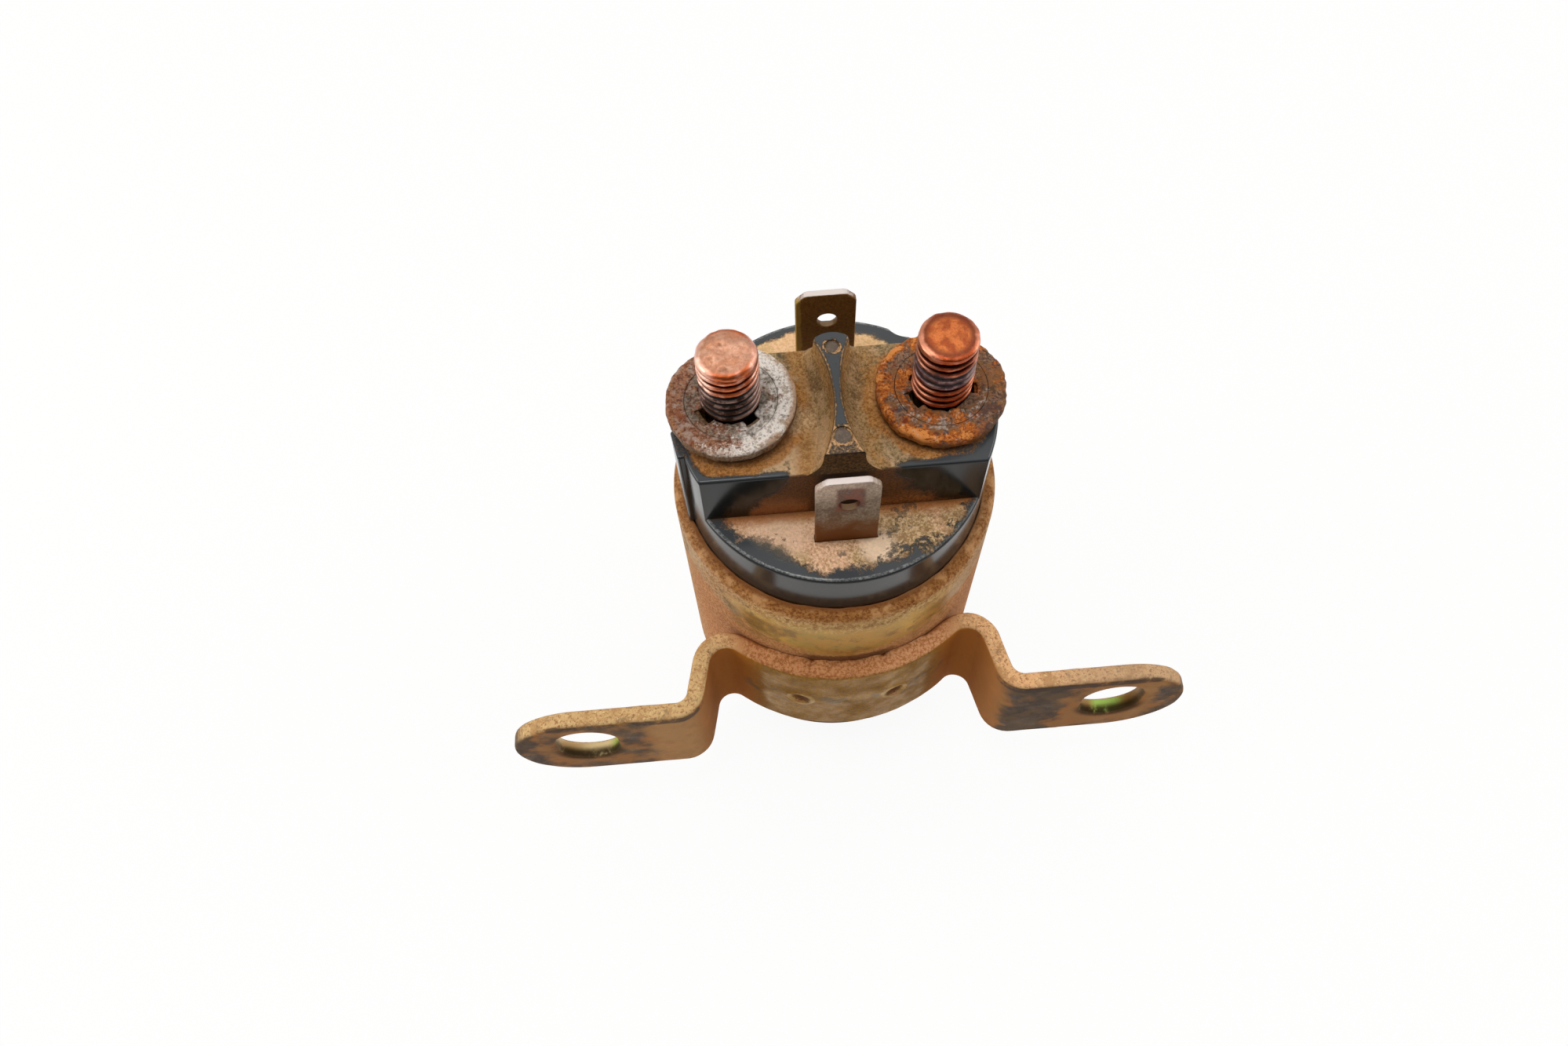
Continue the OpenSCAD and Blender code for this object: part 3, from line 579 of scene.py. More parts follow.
# %% The strap's flat blank and its path
FIT = 0.05  # air between the strap and the can
MIDDLE_R = CAN_R + FIT + STRAP_T / 2
WRAP, LEAN = 39, 12  # degrees round the can from the middle, and how far the legs lean outwards
LOOP_R, EAR_BEND_R, LEG, EAR_RUN = 2.9, 2.4, 3.744, 19.5
RUNS = [  # each run of the middle line: its length, and the degrees that it turns by
    (MIDDLE_R * radians(WRAP), WRAP), (LOOP_R * radians(WRAP + 90 - LEAN), LEAN - 90 - WRAP), (LEG, 0),
    (EAR_BEND_R * radians(90 - LEAN), 90 - LEAN), (EAR_RUN, 0)]


def walk(distance):
    """The point and the heading after a distance along the strap's middle line."""
    point, heading = Vector((0.0, -MIDDLE_R)), 0.0
    for length, bend in RUNS:
        step = min(distance, length)
        if bend:
            r = length / radians(bend)
            centre = point + Vector((-sin(heading), cos(heading))) * r
            heading += step / r
            point = centre + Vector((sin(heading), -cos(heading))) * r
        else:
            point = point + Vector((cos(heading), sin(heading))) * step
        distance -= step
        if distance <= 0:
            break
    return point, heading


bent = sum(length for length, bend in RUNS[:-1])
BLANK_HALF = bent + EAR_END - walk(bent)[0].x
EAR_R = (STRAP_HIGH - STRAP_LOW) / 2
SLOT_S = BLANK_HALF - (EAR_END - SLOT_X)
print("half of the flat blank:", round(BLANK_HALF, 2), "mm; ear plane at y", round(walk(BLANK_HALF)[0].y, 2))

# %% The strap
def ear_end(side):
    return [(side * (BLANK_HALF - EAR_R + x), side * y) for x, y in arc(EAR_R, -pi / 2, pi / 2, 36)]


def slot(side):
    run, rise = (SLOT_H - SLOT_W) / 2, SLOT_Z - STRAP_LOW - EAR_R
    top = arc(SLOT_W / 2, 0, pi, 20, (0.0, run))
    return [(side * SLOT_S + x, rise + y) for x, y in top + [(-x, -y) for x, y in top]]


def score(mesh, place, normal):
    """Divides the blank along a plane, so that it has points to bend at."""
    parts = mesh.verts[:] + mesh.edges[:] + mesh.faces[:]
    bmesh.ops.bisect_plane(mesh, geom=parts, plane_co=place, plane_no=normal)


WELD_S, WELD_RISE, WELD_R, WELD_PIT, WELD_RING = radians(17) * MIDDLE_R, 0.2, 1.35, 0.5, 0.12
STRIP, FINE_STRIP = 0.45, 0.2
blank = sheet(ear_end(1) + ear_end(-1), [slot(-1), slot(1)], STRAP_T, 0.5)
across_cuts = [i * STRIP for i in range(int(BLANK_HALF / STRIP))]
across_cuts += [WELD_S + i * FINE_STRIP for i in range(-10, 11)]
for s in across_cuts:
    score(blank, (s, 0, 0), (1, 0, 0))
    if s > 0:
        score(blank, (-s, 0, 0), (1, 0, 0))
for i in range(-10, 11):
    score(blank, (0, WELD_RISE + i * FINE_STRIP, 0), (0, 1, 0))


def weld(s, across):
    """How deep a spot weld presses the sheet in. Round its pit it raises a low ring."""
    away = hypot(abs(s) - WELD_S, (across - WELD_RISE) * 0.9) / WELD_R
    pit, ring = max(0.0, 1 - away ** 2) ** 1.3, max(0.0, 1 - abs(away - 1.1) / 0.3)
    return WELD_PIT * pit - WELD_RING * ring


def bank(s, across, depth):
    """Where caked dust fills the upper edge against the can: 1 at the can, 0 where it ends."""
    if across <= EAR_R - 0.4:
        return 0.0
    return max(0.0, 1 - depth / 1.4) * max(0.0, 1 - (abs(s) / 13.0) ** 4)


for vert in blank.verts:
    s, across, depth = vert.co
    if depth > STRAP_T - 0.2:
        depth -= weld(s, across)
    caked = bank(s, across, depth)
    if caked > 0:
        depth = max(depth - 0.3 * caked, 0.0)
    point, heading = walk(abs(s))
    x, y = point + Vector((sin(heading), -cos(heading))) * (depth - STRAP_T / 2)
    pile = caked * (0.6 + 0.5 * noise.fractal(Vector((x, y, 0.0)) / 1.1, 1.0, 2.0, 4))
    vert.co = (x if s >= 0 else -x, y, STRAP_LOW + EAR_R + across + pile)
crust(blank, 0.06, 4.0, 8.0, lambda co: abs(abs(co.x) - SLOT_X) >= 5)
finish_piece(shape("bent_strap", blank), strap_steel, ["mounting_strap"], sharp=60)

# %% [markdown]
# ## Black moulding with dust on it
# The cap is hard, glossy and nearly black. Dust settled on its ledges and on
# top of the block, thickest against the walls, and it stays thin where rain
# runs off near the edges. The dust mask adds those places up, breaks them with
# noise of three sizes, and then lifts colour, roughness and relief.

# %% Material: black moulding
def black_moulding():
    r = Recipe("dusty black moulding")
    ragged = r.noise(2.6, 9, 0.68, seed=2)
    speckle = r.noise(0.26, 5, 0.72, seed=6)
    crumbs = r.noise(1.1, 9, 0.74, seed=15)
    cloud = r.noise(5, 3, 0.5, seed=9)
    breaks = ragged.swing(2.4) + speckle.swing(1.2)
    up = r.up.ramp(0.5, 0.9)
    side = abs(r.x)
    radius = r.from_axis()

    # ledges: dust lies against the wall and ends before the outer edge
    on_ledge = up * r.z.ramp(43.6, 43.2)
    front_edge = r.blend(r.x.window(-11, -4, 2.5), 14.9, 13.6) + r.x.ramp(6, 9)
    front = front_edge - radius + ragged.swing(3) + crumbs.swing(2.4) + speckle.swing(1.4)
    patchy = (r.x.ramp(2, 4.5, 0.62, 0.24) + r.from_axis(8.2, -10.4).ramp(2.8, 0.8, 0, 0.5)
        + r.y.ramp(-11, -9, 0, 0.4) * (1 - r.x.window(4, 9.5, 1.5)) + crumbs.swing(3.2) + ragged.swing(2)
        + speckle.swing(0.8))
    front = front.ramp(-0.3, 0.5) * patchy.ramp(-0.1, 0.3)
    rear_edge = r.blend(r.x.ramp(-1, 1), 15.2 - radius, r.math("MINIMUM", 14.4 - radius, 7.3 - r.x))
    rear = (rear_edge * 1.6 + breaks).ramp(-0.2, 0.4)
    ledge_dust = on_ledge * r.blend(r.y.ramp(5, 6), front, rear)
    tan = speckle.tones("#be8e66", "#f2c8a4", 0.12)
    tan.paint((cloud + r.x.ramp(1, 6, 0, 0.1)).ramp(0.44, 0.58), speckle.tones("#9a7748", "#dcbb90", 0.12))
    tan.paint((crumbs + r.x.ramp(-5, 1, -0.06, 0.03)).ramp(0.54, 0.64, 0, 0.7), "#86603a")
    tan.paint(crumbs.ramp(0.44, 0.36, 0, 0.6), "#ecc6a4")
    tan.paint(r.from_axis(-7, -10.6).ramp(4.5, 1.5, 0, 0.6), "#f0c8a8")
    tan.paint(r.from_axis(3.2, -12.6).ramp(2.6, 1, 0, 0.7), "#ffe0c0")
    tan.paint(r.y.ramp(7, 9, 0, 0.5), "#f0c48c")
    tan.paint((r.y + ragged.swing(1.5)).ramp(-9.5, -8.2) * r.y.ramp(3, 0) * 0.85, "#a8642c")
    haze = on_ledge * (14.6 + radius * -1 + breaks).ramp(-0.4, 1.2, 0, 0.5)

    # block top: a tan film with dark gaps, and orange stains round the washers
    on_top = up * r.z.ramp(50, 50.4) * r.z.ramp(51.9, 51.2)
    left, right = (r.from_axis(-STUD_X, 0), r.from_axis(STUD_X, 0))
    ring = r.most(left.ramp(8.4, 6.8), right.ramp(8.4, 6.8) * 0.7)
    film_here = (0.72 + ring * 0.3 + radius.ramp(15.9, 14.6, -1, 0)
        + r.y.ramp(-6.9, -7.6, 0, -0.9) * side.ramp(4, 6.5) + r.x.ramp(7, 11, 0, -0.7) * r.y.ramp(-4, -6.5)
        + breaks * 0.7)
    top_film = on_top * film_here.ramp(0, 0.45)
    olive = speckle.tones("#74603e", "#ac9068", 0.12)
    pale = crumbs + r.from_axis(-4, -5.6).ramp(5.5, 2) * 0.16 + side.ramp(4.6, 2.6) * 0.04
    olive.paint(pale.ramp(0.5, 0.64, 0, 0.85), "#d0ac84")
    shadow = (r.noise(2.4, 9, 0.7, seed=18) + r.from_axis(-5, 3).ramp(5, 2, 0, 0.05)
        + r.from_axis(4.5, -3.5).ramp(4.5, 2, 0, -0.1))
    olive.paint(shadow.ramp(0.5, 0.6, 0, 0.85), "#483d2b")
    foot = side.window(2, 5.2, 1.2) * (ragged + r.x.ramp(-1, 1, 0.08, 0)).ramp(0.44, 0.58, 0, 0.8)
    olive.paint(foot, speckle.tones("#8c5a26", "#b5854c"))
    stained = (ring * 0.85 + ragged.swing(1.6) + r.x.ramp(1, 3, 0, 0.15)).ramp(0.3, 0.7)
    olive.paint(stained * 0.8, speckle.tones("#8c5214", "#c2803c", 0.12))
    beige = (r.from_axis(-4.1, -1.5) + ragged.swing(2.4)).ramp(2.4, 0.6, 0, 0.85)
    olive.paint(beige, speckle.tones("#b08a5c", "#f0cca0", 0.12))
    amber = (r.from_axis(4.6, 0.7) + ragged.swing(2.4)).ramp(2.4, 0.6, 0, 0.85)
    olive.paint(amber, speckle.tones("#b87434", "#f0b070", 0.12))

    # barrier: granular brown flanks whose front-facing part is painted darker as shade, and a clean top with
    # dust in the marks and along its edges
    flank = r.z.ramp(50.2, 50.45) * r.z.ramp(53.95, 53.6) * abs(r.y).ramp(9, 8.2) * side.ramp(4.5, 3.6)
    brown = speckle.tones("#7a521c", "#c0935a", 0.14)
    brown.paint(crumbs.ramp(0.5, 0.62, 0, 0.8), "#8c5a28")
    brown.paint(r.z.ramp(52.6, 51, 0, 0.6), olive)
    # Painted shade: the part of the flanks that faces the front is dark brown.
    brown.paint(r.front.ramp(0.6, 0.9, 0, 0.9), speckle.tones("#34210a", "#6f4c20"))
    bent = r.y + -WAIST_Y
    half_width = WAIST + bent * bent * (1 / (2 * HOLLOW_R))
    (front_y, _), (rear_y, _) = MARKS
    marks = r.most(r.from_axis(0, front_y).window(0.7, 1.4, 0.25),
        r.from_axis(0, rear_y).window(0.5, 1.1, 0.2))
    spill = (marks * crumbs.ramp(0.4, 0.56, 0.1, 0.55) + (side - half_width).ramp(-0.45, 0, 0, 0.55)
        + r.y.ramp(-4.5, -7.5, 0, 0.48) + ragged.swing(1.5) + speckle.swing(0.9))
    spill = spill.ramp(0.25, 0.55) * r.z.ramp(53.5, 53.7) * up

    # walls: a brown wash of dust in the middle, with the blade's painted shadow in it, that fades at both
    # ends to black, which is painted shade
    upright = 1 - up
    near = abs(r.y).ramp(8.6, 8.1)
    on_rim = r.z.window(42.7, 43.5, 0.1)
    wash = (side + (r.z - 43) * 0.7).ramp(15, 7.5, -0.6, 0.9) + ragged.swing(1.8) + cloud.swing(1.4)
    wash = wash.ramp(0.2, 0.7) * r.z.window(42.8, 50.6, 0.3) * near * upright
    shade = r.z.window(42.9, 50.2, 0.3) * near * upright

    # Painted light and shade on one black plastic: faces that look up are painted slate grey as a painted
    # reflection of the bright room, the side below the ledge dark grey, and upright faces above the ledge
    # near black as painted shade. The walls get that painted shade again below.
    color = r.mix(up, r.mix(r.z.ramp(42.2, 43), "#302f2c", "#121212"), "#3d4042")
    # Painted highlight: a thin pale line, broken by noise, along the ledge's rounded rim.
    wear_and_highlight = (radius.window(CAP_R - 0.5, CAP_R - 0.1, 0.12) * on_rim
        * (speckle + ragged.swing(0.4)).ramp(0.4, 0.62))
    color.paint(wear_and_highlight * 0.7, "#8f8f8c")
    color.paint(shade, "#10100e")
    wash_and_blade_shadow = r.mix(speckle.ramp(0.34, 0.64), "#482404", "#784610")
    wash_and_blade_shadow.paint((r.z + ragged.swing(4)).ramp(46.5, 43.2, 0, 0.8) * side.ramp(2.8, 4.2),
        speckle.tones("#8a4c1a", "#b87840"))
    wash_and_blade_shadow.paint(r.x.ramp(-3, -5.5) * r.z.ramp(47.5, 44.5) * 0.55, "#a8683a")
    # Painted shadow: the blade's shadow, dark brown, in the middle of each wall.
    wash_and_blade_shadow.paint(side.ramp(3.4, 1.8), "#2e1806")
    color.paint(wash * 0.9, wash_and_blade_shadow)
    color.paint(top_film, olive)
    color.paint(flank, brown)
    color.paint(spill, speckle.tones("#8f6a40", "#c69c70"))
    color.paint(haze, "#7d6a4e")
    color.paint(ledge_dust, tan)
    crease = r.corner(0.9).ramp(0.4, 0.85, 0.75, 0) * side.ramp(15, 12)
    color.paint(crease, "#58350f")
    dust = r.most(r.most(ledge_dust, spill), r.most(flank, top_film * 0.9))
    dust = r.most(dust, r.most(wash * 0.6, haze))
    relief = r.bump(dust * (0.4 + speckle * 1 + ragged * 0.4), 0.14)
    return r.done(color, r.blend(dust, 0.17, 0.85), relief, gloss=0.3)


moulding = black_moulding()
print("made", moulding.name)

# %% [markdown]
# ## The terminal cap
# The moulding is a round base with two ledges, a tall block between them, and a
# waisted barrier between the studs. Each form is built with its own rounded
# edges and they are joined with exact booleans, because a moulding has soft
# outer edges and crisp inner corners. The stud holes, the blade slots, the
# notch and the two plain ejector marks are then cut.

# %% The cap's base and block
ROOF_Z, CHAMBER_R, POCKET_R, POCKET_Z = 40.0, 15.0, 4.0, 41.45  # the hollow under the cap
SKIRT_R, SKIRT_Z, BLOCK_LOW = 16.75, 30.8, 41.0
base = shape("moulded_cap", lathe(rounded([
    (0.0, POCKET_Z), (POCKET_R, POCKET_Z), (POCKET_R, ROOF_Z), (CHAMBER_R, ROOF_Z), (CHAMBER_R, SKIRT_Z),
    (SKIRT_R, SKIRT_Z, 0.3), (SKIRT_R, LIP_Z, 0.3), (CAP_R + 0.08, LIP_Z), (CAP_R, LEDGE_Z, 0.42),
    (0.0, LEDGE_Z)], 6), steps=192))


def block_outline():
    """The block's plan: two arcs of the cap's rim, joined by straight front and rear walls."""
    points = []
    for start, end, side in ((BLOCK_FRONT, BLOCK_REAR, 1), (BLOCK_REAR, BLOCK_FRONT, -1)):
        first = atan2(start, side * sqrt(CAP_R ** 2 - start ** 2))
        last = atan2(end, side * sqrt(CAP_R ** 2 - end ** 2))
        points += arc(CAP_R, first, last if last > first else last + 2 * pi, 36)
    return points


middle = shape("middle block", block(block_outline(), BLOCK_LOW, BLOCK_Z, 0.35))

# %% The barrier, the rib and the cutters
EDGE, SUNK = 0.3, 0.3  # how far edges are rounded, and how far a form starts inside its neighbour
TAIL_Y, TAIL_LONG, FLARE = 5.45, 1.05, 1.5


def barrier_ring(z, steps=26):
    """One level of the barrier: hollow sides that flare into the block, and a round rear end."""
    height = (z - BLOCK_Z) / (BARRIER_Z - BLOCK_Z)
    flare = FLARE * max(0.0, 1 - height) ** 3
    side = []
    for i in range(steps + 1):
        y = BLOCK_FRONT + (TAIL_Y - BLOCK_FRONT) * i / steps
        side.append((WAIST + HOLLOW_R - sqrt(HOLLOW_R ** 2 - (y - WAIST_Y) ** 2) + flare, y))
    wide, long = side[-1][0], TAIL_LONG + flare * 0.6
    tail = [(wide * cos(pi * i / 16), TAIL_Y + long * sin(pi * i / 16)) for i in range(1, 16)]
    return side + tail + [(-x, y) for x, y in reversed(side)]


def barrier():
    levels = [BLOCK_Z - SUNK + (BARRIER_Z - EDGE - BLOCK_Z + SUNK) * i / 8 for i in range(9)]
    return skin([lift(barrier_ring(z), z) for z in levels]
        + eased_top(barrier_ring(BARRIER_Z), BARRIER_Z, EDGE)[1:])


def side_rib(angle=radians(191), half=1.7, out=CAP_R + 0.55, root=3.0):
    corners = rounded([(out - root, -half), (out, -half, EDGE), (out, half, EDGE), (out - root, half)])
    outline = [(x * cos(angle) - y * sin(angle), x * sin(angle) + y * cos(angle)) for x, y in corners]
    return block(outline, CAN_TOP + SUNK, BLOCK_Z, EDGE)


def cutter(outline, low, high):
    return shape("cutter", skin([lift(outline, low), lift(outline, high)]))


HOLE_R, RECESS_R, RECESS_Z, BELOW, ABOVE_LEDGE = 2.75, 3.85, 41.0, 39.5, 44.0
SLOT_HALF_W, SLOT_HALF_T = 3.225, 0.45
NOTCH_R, NOTCH_OUT, NOTCH_AT, MARK_DEPTH = 2.5, CAP_R + 1.95, radians(58), 0.15
cap = carve(base, [middle, shape("barrier", barrier()), shape("rib", side_rib())], "UNION")
cutters = []
for radius, top in ((HOLE_R, 52.0), (RECESS_R, RECESS_Z)):
    cutters += [cutter(circle(radius, (side * STUD_X, 0), 64), BELOW, top) for side in (-1, 1)]
for y in (-BLADE_Y, BLADE_Y):
    near, far = y - SLOT_HALF_T, y + SLOT_HALF_T
    corners = [(-SLOT_HALF_W, near), (SLOT_HALF_W, near), (SLOT_HALF_W, far), (-SLOT_HALF_W, far)]
    cutters.append(cutter(corners, BELOW, ABOVE_LEDGE))
notch = (NOTCH_OUT * cos(NOTCH_AT), NOTCH_OUT * sin(NOTCH_AT))
cutters.append(cutter(circle(NOTCH_R, notch, 64), CAN_TOP + SUNK, ABOVE_LEDGE))
for y, radius in MARKS:
    cutters.append(cutter(circle(radius, (0, y), 40), BARRIER_Z - MARK_DEPTH, BARRIER_Z + 1.0))
carve(cap, cutters, "DIFFERENCE")
finish_piece(cap, moulding, ["terminal_cap"], sharp=35)

# %% [markdown]
# ## Copper studs
# The studs are bare copper. The tips were hammered and polished by years of
# spanners, so they are bright pink, while the lower threads have gone purple
# and black. A thread is a ramp, not a stack of rings: each point's height grows
# with its angle, and a clamp at the tip trims the ramp off flat.

# %% Material: copper
def stud_copper(name, seed, x, top, tip_colors, thread_colors, dull_from, dull_to, dull_colors):
    """Worn copper. The threads are dark in their roots, and between two heights they are tarnished."""
    r = Recipe(name)
    cloud = r.noise(1.2, 6, 0.62, seed=seed)
    fine = r.noise(0.2, 6, 0.8, seed=seed + 1)
    scratch = r.noise(0.3, 5, 0.7, stretch=(1, 7, 1), seed=seed + 2)
    away = r.from_axis(x, 0)
    tip = r.mix(cloud.ramp(0.4, 0.6), tip_colors[0], tip_colors[1])
    tip.paint(fine.ramp(0.5, 0.66, 0, 0.6), tip_colors[2])
    tip.paint((away + cloud.swing(0.8)).ramp(1.7, 2.3, 0, tip_colors[3]), tip_colors[2])
    crest = r.most((away + fine.swing(0.12)).ramp(2.76, 2.99), r.z.ramp(top - 1.3, top - 0.9))
    # Painted highlights: the third thread colour goes on both sides of each stud, and the third dull colour
    # on its right side, each also in cloudy patches.
    across = r.x - x + cloud.swing(1)
    polish_and_highlight = cloud.ramp(0.5, 0.66, 0, 0.4) + across.ramp(-1, -2.2, 0, 0.8) + across.ramp(1.6, 2.6, 0, 0.5)
    bright = r.mix(crest, thread_colors[0], r.mix(polish_and_highlight, thread_colors[1], thread_colors[2]))
    rub_and_sheen = cloud.ramp(0.46, 0.6, 0, 0.5) + across.ramp(1.2, 2.2, 0, 0.7)
    dull = r.mix(crest, dull_colors[0], r.mix(rub_and_sheen, dull_colors[1], dull_colors[2]))
    height = r.z + cloud.swing(1.6)
    tarnish = height.window(dull_from, dull_to, 0.4)
    color = r.mix(tarnish, bright, dull)
    on_tip = r.z.ramp(top - 0.7, top - 0.4) * (away + cloud.swing(0.4)).ramp(2.62, 2.3)
    color.paint(on_tip, tip)
    rough = 0.16 + cloud * 0.12 + tarnish * 0.06 + on_tip * 0.18 + fine * 0.16
    relief = r.bump(scratch * on_tip * 0.7 + fine * 0.35, 0.08)
    metallic = r.blend(on_tip, 0.95, 0.6) * r.blend(tarnish * (1 - crest), 1, 0.4)
    return r.done(color, rough, relief, metallic)


# The third thread colour and the third dull colour are painted highlights.
left_copper = stud_copper("bright copper", 1.0, -STUD_X, 61.0,
    tip_colors=("#c78a68", "#dba688", "#8f5238", 0.25), thread_colors=("#3c1004", "#c8663a", "#fac8b2"),
    dull_from=40.0, dull_to=57.9, dull_colors=("#0a0605", "#41291e", "#c09c90"))
right_copper = stud_copper("orange copper", 5.0, STUD_X, 60.7,
    tip_colors=("#a84e22", "#d4763a", "#6e3018", 0.8), thread_colors=("#2a0a03", "#a84e2a", "#e89c7c"),
    dull_from=55.6, dull_to=58.3, dull_colors=("#1a1012", "#684a4c", "#bc9c94"))
print("made", left_copper.name, "and", right_copper.name)

# %% The studs
ROOT_R, THREAD_DEPTH, RUN_OUT = 2.42, 0.6, 0.25
HEAD_R, HEAD_LOW, NECK_R = 4.3, 38.4, 2.7
TAPER_FROM, TAPER_LONG = 56, 4.6


def thread_depth(phase):
    """How far below the crest the thread lies, for a phase of 0 to 1 along one pitch."""
    away = abs(phase - 0.5)
    return THREAD_DEPTH * min(1.0, max(0.0, (0.33 - away) / 0.25))


def stud(x, first, last, rim, top, edge, chamfer, wear_and_highlight=(0.0, 0.0), taper=0.0, steps=96, rows=16):
    """A headed stud. Its thread runs from first up to last, and a tip of radius edge closes it at top."""
    bm = bmesh.new()
    shank = rounded([(0.0, HEAD_LOW), (HEAD_R, HEAD_LOW, 0.2), (HEAD_R, ROOF_Z, 0.2), (NECK_R, ROOF_Z),
        (NECK_R, first - 0.1), (ROOT_R, first)])
    tip = [(edge * (1 - i / 16), rim + (top - rim) * (1 - (1 - i / 16) ** 3)) for i in range(17)]
    for path in (shank, tip):
        skin(turned(path, (x, 0.0), steps), into=bm)
    grid = []
    for row in range((int((rim - first) / PITCH) + 3) * rows):
        ring = []
        for i in range(steps):
            z = min(max(first + PITCH * (row / rows + i / steps - 1), first), rim)
            kept = 0.35 if wear_and_highlight[0] < z < wear_and_highlight[1] else 1.0
            shoulder = 1 - min(1.0, (rim - z) / chamfer)
            tip_r = edge + (STUD_R - edge) * sqrt(1 - shoulder ** 2)
            depth = thread_depth(row / rows % 1.0) * kept * min(1.0, max(0.0, (last - z) / RUN_OUT))
            crest_r = STUD_R - depth - taper * max(0.0, (z - TAPER_FROM) / TAPER_LONG)
            r, a = min(crest_r, ROOT_R + (z - first) * 1.6, tip_r), 2 * pi * i / steps
            ring.append(bm.verts.new((x + r * cos(a), r * sin(a), z)))
        grid.append(ring)
    for row in range(len(grid) - 1):
        for i in range(steps - 1):
            bm.faces.new((grid[row][i], grid[row][i + 1], grid[row + 1][i + 1], grid[row + 1][i]))
        if row + rows + 1 < len(grid):
            bm.faces.new((grid[row][-1], grid[row + rows][0], grid[row + rows + 1][0], grid[row + 1][-1]))
    bmesh.ops.remove_doubles(bm, verts=bm.verts[:], dist=1e-4)
    bmesh.ops.dissolve_degenerate(bm, edges=bm.edges[:], dist=1e-4)
    return bm


def dent(bm, x, y, z, reach, depth):
    """Presses a soft dent into the tip of a stud."""
    for vert in bm.verts:
        away = hypot(vert.co.x - x, vert.co.y - y) / reach
        if vert.co.z > z and away < 1:
            vert.co.z -= depth * (1 - away ** 2) ** 2


left_stud = stud(-STUD_X, first=53.02, last=60.2, rim=60.75, top=61.12, edge=2.35, chamfer=0.8)
for x, y, reach, depth in ((-10.8, 0.3, 0.8, 0.4), (-9.4, 1.6, 1.1, 0.32), (-11.9, -1.4, 1.0, 0.12)):
    dent(left_stud, x, y, 60.5, reach, depth)
crust(left_stud, 0.2, 1.1, 5.0, lambda co: max(0.0, min(1.0, (co.z - 60.7) / 0.1)))
crust(left_stud, 0.05, 0.9, 9.0, lambda co: 1.0 if co.z > TAPER_FROM else 0.3)
finish_piece(shape("battered_stud", left_stud), left_copper, ["left_stud"], sharp=75)
right_stud = stud(STUD_X, first=52.32, last=60.1, rim=60.64, top=60.78, edge=2.25, chamfer=0.6,
    wear_and_highlight=(56.3, 58.3), taper=0.12)
crust(right_stud, 0.05, 0.9, 2.0)
finish_piece(shape("squared_stud", right_stud), right_copper, ["right_stud"], sharp=75)

# %% [markdown]
# ## Corroded washers
# Each stud carries a sealing washer, a thick flat washer and a dished lock ring
# with teeth. Zinc on the left washer has turned to white crust over brown
# steel, while the right one is orange rust through and through. Rust swells, so
# the washers' surfaces are moved by noise as well as coloured by it.

# %% Materials: white zinc corrosion and orange rust
def corroded_zinc():
    r = Recipe("white corroded zinc")
    ragged = r.noise(2, 9, 0.7, seed=3)
    speckle = r.noise(0.3, 6, 0.76, seed=7)
    fine = r.noise(0.14, 5, 0.85, seed=11)
    flecks = r.noise(0.8, 8, 0.75, seed=17)
    away = r.from_axis(-STUD_X, 0)
    lean = (r.x + STUD_X + r.y * -0.2) * 0.1
    white = 0.4 + lean * 0.9 + ragged.swing(2.6) + speckle.swing(1.3) + away.ramp(5.2, 6.2, 0, 0.12)
    outer = away.ramp(4.7, 5.4) * r.x.ramp(-10, -7)
    white = (white + outer * 0.3 + flecks.swing(1.2)).ramp(0.35, 0.75)
    brown = speckle.tones("#6a3c28", "#ab7858", 0.08)
    brown.paint(flecks.ramp(0.49, 0.58, 0, 0.85), "#b09888")
    brown.paint(r.noise(1.5, 8, 0.7, seed=27).ramp(0.55, 0.65, 0, 0.8), "#8b4a28")
    chalk = r.mix(speckle.ramp(0.34, 0.52), "#978b80", "#f4eae0")
    chalk.paint(r.noise(1.4, 9, 0.72, seed=37).ramp(0.5, 0.6, 0, 0.75), "#a38a72")
    chalk.paint(flecks.ramp(0.56, 0.64, 0, 0.8), "#6e6862")
    chalk.paint(fine.ramp(0.6, 0.75, 0, 0.5), "#5a4a3e")
    color = r.mix(white, brown, chalk)
    inner = away.ramp(5, 4.4) * r.noise(1.2, 7, 0.7, seed=19).ramp(0.42, 0.6, 0.1, 0.9)
    color.paint(inner, speckle.tones("#544636", "#988a7a"))
    pits = r.grains(0.7, 2).ramp(0, 0.22, 1, 0) * ragged.ramp(0.46, 0.58)
    color.paint(pits * 0.9, "#2b221c")
    # Painted shade: near black deep in the corners, round the lock ring and the stud.
    color.paint(r.corner(0.5).ramp(0.2, 0.75, 0.75, 0), "#2a1f18")
    orange = away.ramp(5.7, 6.3) * (ragged + r.x.ramp(-10, -6) * 0.1).ramp(0.5, 0.62)
    color.paint(orange * 0.7, "#a4703a")
    edge = r.z.ramp(52.85, 52.55) * (0.75 + ragged.swing(1.4)).ramp(0.3, 0.6)
    color.paint(edge * 0.85, speckle.tones("#523514", "#8b6740", 0.12))
    relief = r.bump(ragged * 0.5 + speckle * 0.9 + pits * -0.8, 0.24)
    return r.done(color, r.blend(white, 0.5, 0.85), relief, 0.1, 0.25)


